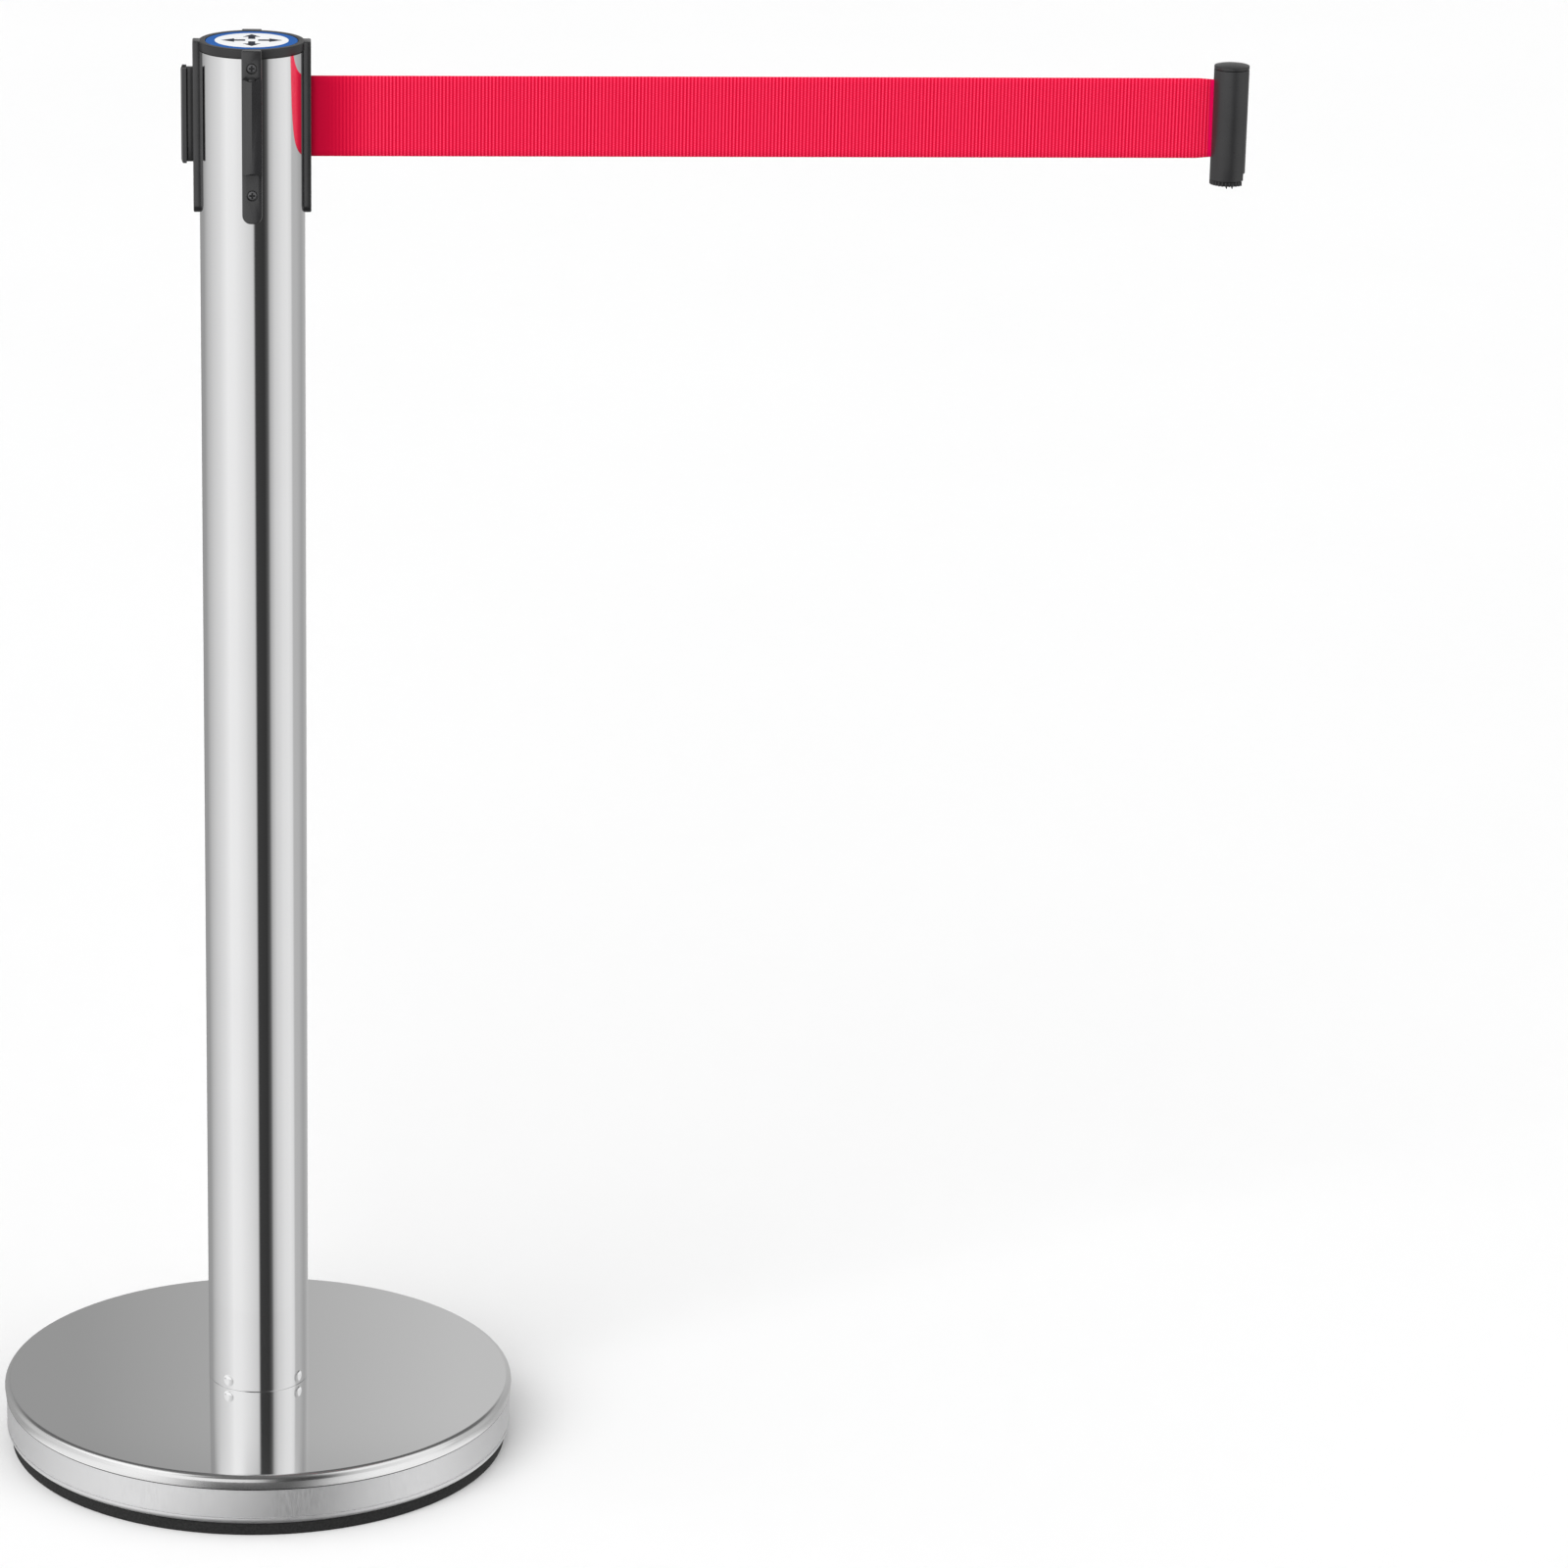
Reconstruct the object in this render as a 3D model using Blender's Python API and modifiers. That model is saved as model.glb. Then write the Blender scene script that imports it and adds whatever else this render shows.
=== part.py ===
"""A retractable belt stanchion: weighted base, tube, belt cassette, receivers and the belt with its end clip.

The post's axis is Z and the floor is z = 0. The belt leaves the post along +X, and the receivers face -X, -Y
and +Y. Lengths are in metres.
"""

import math

import bmesh
import bpy

# Driving dimensions
TUBE_RADIUS = 0.0315
TUBE_WALL = 0.0012
OVERALL_HEIGHT = 0.900
BASE_RADIUS = 0.1611
BASE_TOP = 0.041
BOLT_RADIUS = 0.006
SHEET = 0.0006
CAP_RIM_HEIGHT = 0.0053
BELT_WIDTH = 0.0488
BELT_THICKNESS = 0.0007
BELT_LENGTH = 2.0
BELT_HEIGHT = 0.8543
CLIP_REACH = 0.5874
CLIP_RADIUS = 0.0106
CLIP_WALL = 0.0015
RIB_WIDTH = 0.012
RIB_FACE = 0.0352
RIB_BOTTOM = 0.796
SCREW_HEIGHTS = {"upper": 0.8895, "lower": 0.8132}
GAP = 0.0003

# Worked out from them
TUBE_BORE = TUBE_RADIUS - TUBE_WALL
TUBE_TOP = OVERALL_HEIGHT - CAP_RIM_HEIGHT - GAP
BELT_TOP = BELT_HEIGHT + BELT_WIDTH / 2
BELT_BOTTOM = BELT_HEIGHT - BELT_WIDTH / 2
FACINGS = {"outlet": 0, "rear": 90, "left": 180, "front": 270}

# The base's shell, the weight in it and the ring under it
BASE_HOLE = BOLT_RADIUS + 0.001
FLANGE_INNER = 0.148
FLANGE_BOTTOM = 0.008
FLANGE_SHEET = 0.0008
WEIGHT_BOTTOM = FLANGE_BOTTOM + FLANGE_SHEET + 2 * GAP
WEIGHT_RECESS_TOP = 0.028

# The receivers' T-rail, which a clip slides down over
RAIL_TOP = 0.884
RAIL_BOTTOM = 0.8267
RAIL_FACE = 0.0423
RAIL_PLATE = 0.0033
RAIL_HALF_WIDTH = 0.0059
RAIL_RIDGE = 0.0009
RAIL_NECK_HALF = 0.0018

# Screws that hold the plates
SCREW_HEAD_RADIUS = 0.0027
SCREW_SEAT_RADIUS = SCREW_HEAD_RADIUS + 0.0006
SCREW_HEAD_HEIGHT = 0.0014
SCREW_SHANK_RADIUS = 0.00145
SCREW_TIP = 0.0256
SCREW_HOLE_RADIUS = 0.00175

# The cassette in the head of the tube
CASSETTE_RADIUS = TUBE_BORE - GAP
CASSETTE_BORE = 0.0268
CASSETTE_BOTTOM = 0.786
CASSETTE_FLOOR = 0.0025
CASSETTE_TOP = 0.8836
LEDGE_HEIGHT = 0.8816
SLOT_HALF_WIDTH = 0.0033
SLOT_MARGIN = 0.0034
AXLE_RADIUS = 0.004
AXLE_HOLE = AXLE_RADIUS + GAP
RUNNING_FIT = 0.00006

# The spool and what turns with it
DRUM_RADIUS = 0.0115
FLANGE_RADIUS = 0.026
FLANGE_TOP = 0.8808
FLANGE_UNDER_BELT = 0.829
FLANGE_THICKNESS = 0.002
CUP_RADIUS = 0.023
CUP_WALL = 0.0014
CUP_BOTTOM = 0.7895
BUSH_OUTER = 0.0056
ARBOR_RADIUS = 0.0062
SPRING_BOTTOM = 0.7965
SPRING_TOP = 0.8195
SPRING_THICKNESS = 0.0004
KEY_SLOT_HALF = 0.0016
KEY_SLOT_DEPTH = 0.0042
WOUND_BORE = DRUM_RADIUS + GAP
WOUND_LENGTH = BELT_LENGTH - (CLIP_REACH - CLIP_RADIUS - RIB_FACE)
WOUND_RADIUS = math.sqrt(WOUND_BORE**2 + WOUND_LENGTH * BELT_THICKNESS / math.pi)

# The clip at the belt's end
CLIP_BOTTOM = 0.8173
CLIP_TOP = 0.8843
CLIP_CAP_TOP = 0.8877
CLIP_FOOT_BOTTOM = 0.8143
CLIP_NUB_BOTTOM = 0.8129
CLIP_MOUTH_HALF = 0.0024
CLIP_LIP_BOTTOM = 0.8214
RAIL_SLOT_START = 0.0032
RAIL_SLOT_HALF = RAIL_HALF_WIDTH + GAP
LIP_STEP_START = 0.0088
BELT_PIN_RADIUS = 0.0015
BELT_PIN_OFFSET = 0.0052
CLIP_PLUG_RADIUS = CLIP_RADIUS - CLIP_WALL - GAP
CAP_PLUG_DEPTH = 0.0021
FOOT_PLUG_TOP = 0.822
BELT_SLIT_HALF = 0.0008
BELT_SLIT_MARGIN = 0.0006

FINE, MEDIUM, COARSE = 60, 40, 20


def clear_scene():
    for thing in list(bpy.data.objects):
        bpy.data.objects.remove(thing, do_unlink=True)


def new_collection(name):
    collection = bpy.data.collections.new(name)
    bpy.context.scene.collection.children.link(collection)
    return collection


def new_material(name, colour, roughness, metallic):
    material = bpy.data.materials.new(name)
    material.use_nodes = True
    material.diffuse_color = (*colour, 1.0)
    shader = material.node_tree.nodes["Principled BSDF"]
    shader.inputs["Base Color"].default_value = (*colour, 1.0)
    shader.inputs["Roughness"].default_value = roughness
    shader.inputs["Metallic"].default_value = metallic
    return material


clear_scene()
PARTS = new_collection("retractable_belt_stanchion")
CUTTERS = new_collection("cutters")
CUTTERS.hide_render = True

POLISHED_STEEL = new_material("polished_steel", (0.72, 0.72, 0.73), 0.12, 1.0)
ZINC = new_material("zinc_plated_steel", (0.58, 0.58, 0.56), 0.4, 1.0)
SPRING_STEEL = new_material("spring_steel", (0.25, 0.27, 0.33), 0.35, 1.0)
CONCRETE = new_material("concrete", (0.38, 0.37, 0.35), 0.9, 0.0)
BLACK_SCREW = new_material("black_screw", (0.03, 0.03, 0.03), 0.4, 0.7)
BLACK_PLASTIC = new_material("black_plastic", (0.035, 0.035, 0.037), 0.45, 0.0)
WHITE_PLASTIC = new_material("white_plastic", (0.75, 0.75, 0.72), 0.45, 0.0)
RUBBER = new_material("rubber", (0.015, 0.015, 0.015), 0.85, 0.0)
BRASS = new_material("brass", (0.7, 0.5, 0.2), 0.35, 1.0)
LABEL = new_material("label", (0.02, 0.1, 0.42), 0.3, 0.0)
WEBBING = new_material("red_webbing", (0.85, 0.01, 0.06), 0.8, 0.0)


# Helpers


def finish(thing, material, collection=PARTS):
    """Gives the object its material, smooth shading and a collection."""
    for other in list(thing.users_collection):
        other.objects.unlink(thing)
    collection.objects.link(thing)
    if collection is CUTTERS:
        thing.hide_render = True
        thing.display_type = "WIRE"
        return thing
    thing.data.materials.clear()
    thing.data.materials.append(material)
    if thing.type == "MESH":
        thing.data.shade_smooth()
        thing.data.set_sharp_from_angle(angle=math.radians(35))
    return thing


def turned(name, profile, material, steps=MEDIUM, collection=PARTS):
    """Turns a profile of (radius, height) about Z. It runs outwards at the top, down, and back at the bottom.

    A profile that keeps off the axis is closed into a ring.
    """
    points = [(radius, 0.0, height) for radius, height in profile]
    edges = [(i, i + 1) for i in range(len(points) - 1)]
    if profile[0][0] > 0:
        edges.append((len(points) - 1, 0))
    mesh = bpy.data.meshes.new(name)
    mesh.from_pydata(points, edges, [])
    thing = bpy.data.objects.new(name, mesh)
    bpy.context.scene.collection.objects.link(thing)
    screw = thing.modifiers.new("turn", "SCREW")
    screw.axis = "Z"
    screw.steps = steps
    screw.render_steps = steps
    screw.use_merge_vertices = True
    screw.merge_threshold = 0.00001
    return finish(thing, material, collection)


def tube_profile(outer, inner, bottom, top):
    return [(inner, top), (outer, top), (outer, bottom), (inner, bottom)]


def disc_profile(radius, bottom, top):
    return [(0.0, top), (radius, top), (radius, bottom), (0.0, bottom)]


def arc(centre, radius, start, end, count):
    """Points on an arc, angles in degrees, both ends included."""
    turns = [math.radians(start + (end - start) * i / count) for i in range(count + 1)]
    return [(centre[0] + radius * math.cos(a), centre[1] + radius * math.sin(a)) for a in turns]


def circle(centre, radius, count):
    return arc(centre, radius, 0, 360, count)[:-1]


def rounded_box(half_width, bottom, top, bottom_radius, top_radius, count=6):
    """Outline of an upright box with round corners, counter-clockwise."""
    corners = (
        (half_width - bottom_radius, bottom + bottom_radius, bottom_radius, -90),
        (half_width - top_radius, top - top_radius, top_radius, 0),
        (top_radius - half_width, top - top_radius, top_radius, 90),
        (bottom_radius - half_width, bottom + bottom_radius, bottom_radius, 180),
    )
    points = []
    for x, y, radius, start in corners:
        points += arc((x, y), radius, start, start + 90, count)
    return points


def as_mesh(thing):
    """The object's evaluated shape as one closed mesh, in place of the object."""
    bpy.context.view_layer.update()
    graph = bpy.context.evaluated_depsgraph_get()
    mesh = bpy.data.meshes.new_from_object(thing.evaluated_get(graph))
    welder = bmesh.new()
    welder.from_mesh(mesh)
    bmesh.ops.remove_doubles(welder, verts=welder.verts, dist=0.000001)
    welder.to_mesh(mesh)
    welder.free()
    name = thing.name
    place = thing.matrix_world.copy()
    bpy.data.objects.remove(thing, do_unlink=True)
    solid = bpy.data.objects.new(name, mesh)
    solid.matrix_world = place
    bpy.context.scene.collection.objects.link(solid)
    return solid


def slab(name, outlines, bottom, top, material, collection=PARTS):
    """Fills flat outlines of (x, y), with holes where they nest, and gives them a thickness in Z."""
    curve = bpy.data.curves.new(name, "CURVE")
    curve.dimensions = "2D"
    curve.fill_mode = "BOTH"
    curve.extrude = (top - bottom) / 2
    for outline in outlines:
        spline = curve.splines.new("POLY")
        spline.points.add(len(outline) - 1)
        for point, (x, y) in zip(spline.points, outline):
            point.co = (x, y, 0.0, 1.0)
        spline.use_cyclic_u = True
    thing = bpy.data.objects.new(name, curve)
    thing.location.z = (top + bottom) / 2
    bpy.context.scene.collection.objects.link(thing)
    return finish(as_mesh(thing), material, collection)


def stand_up(thing, along="X"):
    """Turns a slab so that its outline is seen from X, as (y, z), or from Y, as (x, z)."""
    middle = thing.location.z
    if along == "X":
        thing.rotation_euler = (math.radians(90), 0.0, math.radians(90))
        thing.location = (middle, 0.0, 0.0)
    else:
        thing.rotation_euler = (math.radians(90), 0.0, 0.0)
        thing.location = (0.0, -middle, 0.0)
    return thing


def box(name, low, high, material=None, collection=CUTTERS):
    bpy.ops.mesh.primitive_cube_add(size=1.0)
    thing = bpy.context.object
    thing.name = name
    size = [b - a for a, b in zip(low, high)]
    middle = [(a + b) / 2 for a, b in zip(low, high)]
    for vertex in thing.data.vertices:
        vertex.co = [c * s + m for c, s, m in zip(vertex.co, size, middle)]
    return finish(thing, material, collection)


def rod_along_x(name, radius, start, end, height, facing=0, sides=16):
    """A cutter: a cylinder that points away from the post's axis, towards the facing in degrees."""
    bpy.ops.mesh.primitive_cylinder_add(vertices=sides, radius=radius, depth=end - start)
    thing = bpy.context.object
    thing.name = name
    angle = math.radians(facing)
    middle = (start + end) / 2
    thing.rotation_euler = (0.0, math.radians(90), angle)
    thing.location = (middle * math.cos(angle), middle * math.sin(angle), height)
    return finish(thing, None, CUTTERS)


def combine(target, tool, operation="DIFFERENCE"):
    modifier = target.modifiers.new(operation.lower(), "BOOLEAN")
    modifier.operation = operation
    modifier.solver = "EXACT"
    modifier.object = tool
    return target


def settled(thing, material):
    """The object with its modifiers applied, and the material given again."""
    return finish(as_mesh(thing), material)


def copy_facing(source, name, facing, height=0.0):
    """Another object with the same mesh, turned about the post's axis."""
    thing = bpy.data.objects.new(name, source.data)
    thing.location.z = source.location.z + height
    thing.rotation_euler.z = math.radians(facing)
    PARTS.objects.link(thing)
    return thing


def body_empty(name, place):
    """An empty on a joint's axis, which carries the pieces of one moving body."""
    empty = bpy.data.objects.new(name, None)
    empty.location = place
    empty.empty_display_size = 0.02
    PARTS.objects.link(empty)
    return empty


def carry(empty, pieces):
    bpy.context.view_layer.update()
    for piece in pieces:
        piece.parent = empty
        piece.matrix_parent_inverse = empty.matrix_world.inverted()


# Base


def make_base_cover():
    """The polished lid: flat top, rounded shoulder and a short skirt over the band."""
    shoulder_height = 0.0096
    shoulder_depth = 0.0034
    seam = BASE_TOP - shoulder_height
    count = 5
    outside = []
    for i in range(count + 1):
        angle = math.radians(90 * (1 - i / count))
        reach = BASE_RADIUS - shoulder_depth + shoulder_depth * math.cos(angle)
        outside.append((reach, seam + shoulder_height * math.sin(angle)))
    inside = [(radius - SHEET, height - SHEET) for radius, height in reversed(outside[:-1])]
    skirt = [(BASE_RADIUS - SHEET, seam)]
    profile = [(BASE_HOLE, BASE_TOP)] + outside + skirt + inside + [(BASE_HOLE, BASE_TOP - SHEET)]
    turned("base_cover", profile, POLISHED_STEEL, FINE)


def make_base_band():
    """The band under the lid, rolled inwards at its foot into a flange that holds the rubber ring."""
    outer = BASE_RADIUS - 0.001
    top = BASE_TOP - 0.0075
    roll = 0.0038
    centre = (outer - roll, FLANGE_BOTTOM + roll)
    profile = [(outer - FLANGE_SHEET, top), (outer, top)]
    profile += arc(centre, roll, 0, -90, 4)
    profile += [(FLANGE_INNER, FLANGE_BOTTOM), (FLANGE_INNER, FLANGE_BOTTOM + FLANGE_SHEET)]
    profile += arc(centre, roll - FLANGE_SHEET, -90, 0, 4)
    turned("base_band", profile, POLISHED_STEEL, FINE)


def make_base_weight():
    """Cast concrete disc, with a recess below for the bolt's head."""
    top = BASE_TOP - SHEET - GAP
    outer = BASE_RADIUS - 0.0023
    recess_radius = 0.020
    upper_chamfer = 0.005
    lower_chamfer = 0.0036
    profile = [
        (BASE_HOLE, top),
        (outer - upper_chamfer / 2, top),
        (outer, top - upper_chamfer),
        (outer, WEIGHT_BOTTOM + lower_chamfer),
        (outer - lower_chamfer, WEIGHT_BOTTOM),
        (recess_radius, WEIGHT_BOTTOM),
        (recess_radius, WEIGHT_RECESS_TOP),
        (BASE_HOLE, WEIGHT_RECESS_TOP),
    ]
    turned("base_weight", profile, CONCRETE, FINE)


def make_floor_ring():
    """Rubber ring under the band's flange, which the stanchion stands on."""
    outer = 0.157
    inner = 0.147
    top = FLANGE_BOTTOM - GAP
    edge = 0.0008
    profile = [(inner, top), (outer, top), (outer, edge), (outer - edge, 0.0), (inner, 0.0)]
    turned("floor_ring", profile, RUBBER, FINE)


def make_foot():
    """The plug crimped into the tube, and the bolt that pulls the post down onto the base."""
    hole = BOLT_RADIUS + GAP
    plug_bottom = BASE_TOP + GAP
    plug_height = 0.021
    plug = tube_profile(TUBE_BORE - GAP, hole, plug_bottom, plug_bottom + plug_height)
    turned("foot_plug", plug, ZINC)

    flat_top = WEIGHT_RECESS_TOP - GAP
    flat_bottom = flat_top - 0.0025
    turned("tie_washer", tube_profile(0.016, hole, flat_bottom, flat_top), ZINC)

    split_top = flat_bottom - GAP
    split_bottom = split_top - 0.0023
    split_outer = 0.0105
    ring = tube_profile(split_outer, hole, split_bottom, split_top)
    ring = turned("ring_of_spring_washer", ring, ZINC, COARSE, CUTTERS)
    half_split = 0.0006
    low = (hole - 0.002, -half_split, split_bottom - 0.001)
    high = (split_outer + 0.002, half_split, split_top + 0.001)
    washer = settled(combine(ring, box("split_in_spring_washer", low, high)), ZINC)
    washer.name = "spring_washer"

    corner_radius = 0.0104
    head_top = split_bottom - GAP
    head_height = 0.0077
    shank_top = plug_bottom + 0.0167
    turns = [math.radians(60 * i) for i in range(6)]
    hexagon = [(corner_radius * math.cos(a), corner_radius * math.sin(a)) for a in turns]
    head = slab("tie_bolt", [hexagon], head_top - head_height, head_top, ZINC)
    shank = disc_profile(BOLT_RADIUS, head_top - head_height / 2, shank_top)
    shank = turned("bolt_shank", shank, ZINC, COARSE, CUTTERS)
    combine(head, as_cutter(shank), "UNION")


def as_cutter(thing):
    """A helper made a plain closed mesh, still out of the render."""
    return finish(as_mesh(thing), None, CUTTERS)


# Post


def screw_hole_cutters(radius, heights):
    cutters = []
    for facing, turn in FACINGS.items():
        for level in heights:
            name = f"screw_hole_{facing}_{level}"
            cutters.append(rod_along_x(name, radius, 0.022, 0.04, SCREW_HEIGHTS[level], turn))
    return cutters


def belt_slot_cutter(half_width):
    low = (0.015, -half_width, BELT_BOTTOM - SLOT_MARGIN / 2)
    high = (0.045, half_width, BELT_TOP + SLOT_MARGIN / 2)
    return box("belt_slot", low, high)


def make_post_tube():
    bottom = BASE_TOP + GAP
    tube = turned("post_tube", tube_profile(TUBE_RADIUS, TUBE_BORE, bottom, TUBE_TOP), POLISHED_STEEL, FINE)
    combine(tube, belt_slot_cutter(SLOT_HALF_WIDTH + 2 * GAP))
    for hole in screw_hole_cutters(SCREW_HOLE_RADIUS, SCREW_HEIGHTS):
        combine(tube, hole)

    dimple_height = bottom + 0.0052
    dimple_depth = 0.0008
    ball_radius = 0.005
    distance = TUBE_RADIUS + ball_radius - dimple_depth
    for quarter in range(4):
        angle = math.radians(-37 + 90 * quarter)
        place = (distance * math.sin(angle), -distance * math.cos(angle), dimple_height)
        bpy.ops.mesh.primitive_uv_sphere_add(segments=16, ring_count=12, radius=ball_radius, location=place)
        dent = finish(bpy.context.object, None, CUTTERS)
        dent.name = f"dimple_{quarter}"
        combine(tube, dent)


def make_cap():
    """Top cap with a rim on the tube, a skirt that the upper screws bite into, and a recess for the label."""
    label_radius = 0.0275
    recess_radius = label_radius + GAP
    recess_floor = OVERALL_HEIGHT - 0.0009
    rim = TUBE_RADIUS + 0.0002
    rim_bottom = OVERALL_HEIGHT - CAP_RIM_HEIGHT
    skirt_inner = CASSETTE_BORE + 0.0004
    skirt_bottom = 0.8842
    edge = 0.001
    profile = [(0.0, recess_floor), (recess_radius, recess_floor), (recess_radius, OVERALL_HEIGHT)]
    profile += arc((rim - edge, OVERALL_HEIGHT - edge), edge, 90, 0, 3)
    profile += [
        (rim, rim_bottom),
        (CASSETTE_RADIUS, rim_bottom),
        (CASSETTE_RADIUS, skirt_bottom),
        (skirt_inner, skirt_bottom),
        (skirt_inner, OVERALL_HEIGHT - 0.0035),
        (0.0, OVERALL_HEIGHT - 0.0035),
    ]
    cap = turned("top_cap", profile, BLACK_PLASTIC)
    for hole in screw_hole_cutters(SCREW_HOLE_RADIUS, ["upper"]):
        combine(cap, hole)

    label = disc_profile(label_radius, recess_floor + GAP, OVERALL_HEIGHT - 0.0001)
    turned("cap_label", label, LABEL)


# Plates on the post


def make_plate(name):
    """An upright plate that faces +X: hollow behind, where it lies on the tube, and round at its foot."""
    back_radius = TUBE_RADIUS + 0.0002 + GAP
    half = RIB_WIDTH / 2
    edge = 0.001
    reach = math.degrees(math.asin(half / back_radius))
    section = arc((0.0, 0.0), back_radius, reach, -reach, 8)
    section += arc((RIB_FACE - edge, edge - half), edge, -90, 0, 3)
    section += arc((RIB_FACE - edge, half - edge), edge, 0, 90, 3)
    blank = slab(name, [section], RIB_BOTTOM - 0.002, OVERALL_HEIGHT + 0.002, BLACK_PLASTIC)
    outline = rounded_box(half + 0.0001, RIB_BOTTOM, OVERALL_HEIGHT, 0.0052, 0.0008)
    shape = slab(f"{name}_outline", [outline], 0.025, 0.04, None, CUTTERS)
    combine(blank, stand_up(shape), "INTERSECT")
    for level, height in SCREW_HEIGHTS.items():
        combine(blank, rod_along_x(f"{name}_{level}_hole", SCREW_HOLE_RADIUS, 0.025, 0.04, height))
        seat = RIB_FACE - SCREW_HEAD_HEIGHT - 2 * GAP
        combine(blank, rod_along_x(f"{name}_{level}_seat", SCREW_SEAT_RADIUS, seat, 0.04, height, sides=20))
    return blank


def make_receivers():
    """Three plates with a T-rail each."""
    plate = make_plate("receiver_front")
    inner_face = RAIL_FACE - RAIL_PLATE
    section = [
        (RIB_FACE - 0.001, -RAIL_NECK_HALF),
        (inner_face, -RAIL_NECK_HALF),
        (inner_face, -RAIL_HALF_WIDTH),
        (RAIL_FACE - RAIL_RIDGE, -RAIL_HALF_WIDTH),
        (RAIL_FACE, 0.0),
        (RAIL_FACE - RAIL_RIDGE, RAIL_HALF_WIDTH),
        (inner_face, RAIL_HALF_WIDTH),
        (inner_face, RAIL_NECK_HALF),
        (RIB_FACE - 0.001, RAIL_NECK_HALF),
    ]
    rail = slab("receiver_rail", [section], RAIL_BOTTOM - 0.001, RAIL_TOP + 0.001, None, CUTTERS)
    corner = 0.0018
    side = [(0.03, RAIL_BOTTOM)]
    side += arc((RAIL_FACE - corner, RAIL_BOTTOM + corner), corner, -90, 0, 4)
    side += arc((RAIL_FACE - corner / 2, RAIL_TOP - corner / 2), corner / 2, 0, 90, 3)
    side += [(0.03, RAIL_TOP)]
    profile = slab("receiver_rail_side", [side], -0.01, 0.01, None, CUTTERS)
    combine(rail, stand_up(profile, "Y"), "INTERSECT")
    combine(plate, as_cutter(rail), "UNION")
    front = settled(plate, BLACK_PLASTIC)
    front.rotation_euler.z = math.radians(FACINGS["front"])
    for facing in ("left", "rear"):
        copy_facing(front, f"receiver_{facing}", FACINGS[facing])


def make_belt_outlet():
    """The plate that the belt leaves through, with a nozzle that lines the tube's slot."""
    plate = make_plate("belt_outlet")
    low = (CASSETTE_BORE + 0.0005, -SLOT_HALF_WIDTH, BELT_BOTTOM - SLOT_MARGIN / 2 + 2 * GAP)
    high = (RIB_FACE - 0.001, SLOT_HALF_WIDTH, BELT_TOP + SLOT_MARGIN / 2 - 2 * GAP)
    combine(plate, box("outlet_nozzle", low, high), "UNION")
    half = SLOT_HALF_WIDTH - 0.0017
    low = (0.02, -half, BELT_BOTTOM - 2 * GAP)
    high = (0.045, half, BELT_TOP + 2 * GAP)
    combine(plate, box("outlet_opening", low, high))


def make_screws():
    """Eight screws with a cross recess, two in each plate."""
    head_face = RIB_FACE - GAP / 2
    under_head = head_face - SCREW_HEAD_HEIGHT
    length = head_face - SCREW_TIP
    edge = 0.0004
    profile = [
        (0.0, length),
        (SCREW_HEAD_RADIUS - edge, length),
        (SCREW_HEAD_RADIUS, length - edge),
        (SCREW_HEAD_RADIUS, under_head - SCREW_TIP),
        (SCREW_SHANK_RADIUS, under_head - SCREW_TIP),
        (SCREW_SHANK_RADIUS, 0.0015),
        (0.0005, 0.0),
        (0.0, 0.0),
    ]
    blank = turned("screw_front_upper", profile, BLACK_SCREW, 16)
    arm, slit, depth = 0.0016, 0.00035, 0.0009
    for across, along in ((arm, slit), (slit, arm)):
        combine(blank, box("recess", (-across, -along, length - depth), (across, along, length + 0.001)))
    screw = settled(blank, BLACK_SCREW)
    for facing, turn in FACINGS.items():
        for level, height in SCREW_HEIGHTS.items():
            copy = copy_facing(screw, f"placed_{facing}_{level}", 0.0, height)
            angle = math.radians(turn)
            copy.location.x = SCREW_TIP * math.cos(angle)
            copy.location.y = SCREW_TIP * math.sin(angle)
            copy.rotation_euler = (0.0, math.radians(90), angle)
    bpy.data.objects.remove(screw, do_unlink=True)
    for facing in FACINGS:
        for level in SCREW_HEIGHTS:
            bpy.data.objects[f"placed_{facing}_{level}"].name = f"screw_{facing}_{level}"


# Cassette


def make_cassette():
    """The moulded body that the lower screws bite into, and its lid on a ledge."""
    top_bore = 0.0282
    profile = [
        (top_bore, CASSETTE_TOP),
        (CASSETTE_RADIUS, CASSETTE_TOP),
        (CASSETTE_RADIUS, CASSETTE_BOTTOM),
        (AXLE_HOLE, CASSETTE_BOTTOM),
        (AXLE_HOLE, CASSETTE_BOTTOM + CASSETTE_FLOOR),
        (CASSETTE_BORE, CASSETTE_BOTTOM + CASSETTE_FLOOR),
        (CASSETTE_BORE, LEDGE_HEIGHT),
        (top_bore, LEDGE_HEIGHT),
    ]
    body = turned("cassette_body", profile, BLACK_PLASTIC)
    combine(body, belt_slot_cutter(SLOT_HALF_WIDTH + 2 * GAP))
    for hole in screw_hole_cutters(SCREW_HOLE_RADIUS, ["lower"]):
        combine(body, hole)
    lid = tube_profile(top_bore - GAP, AXLE_HOLE, LEDGE_HEIGHT + GAP, CASSETTE_TOP - 0.0001)
    turned("cassette_lid", lid, BLACK_PLASTIC)


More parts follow.
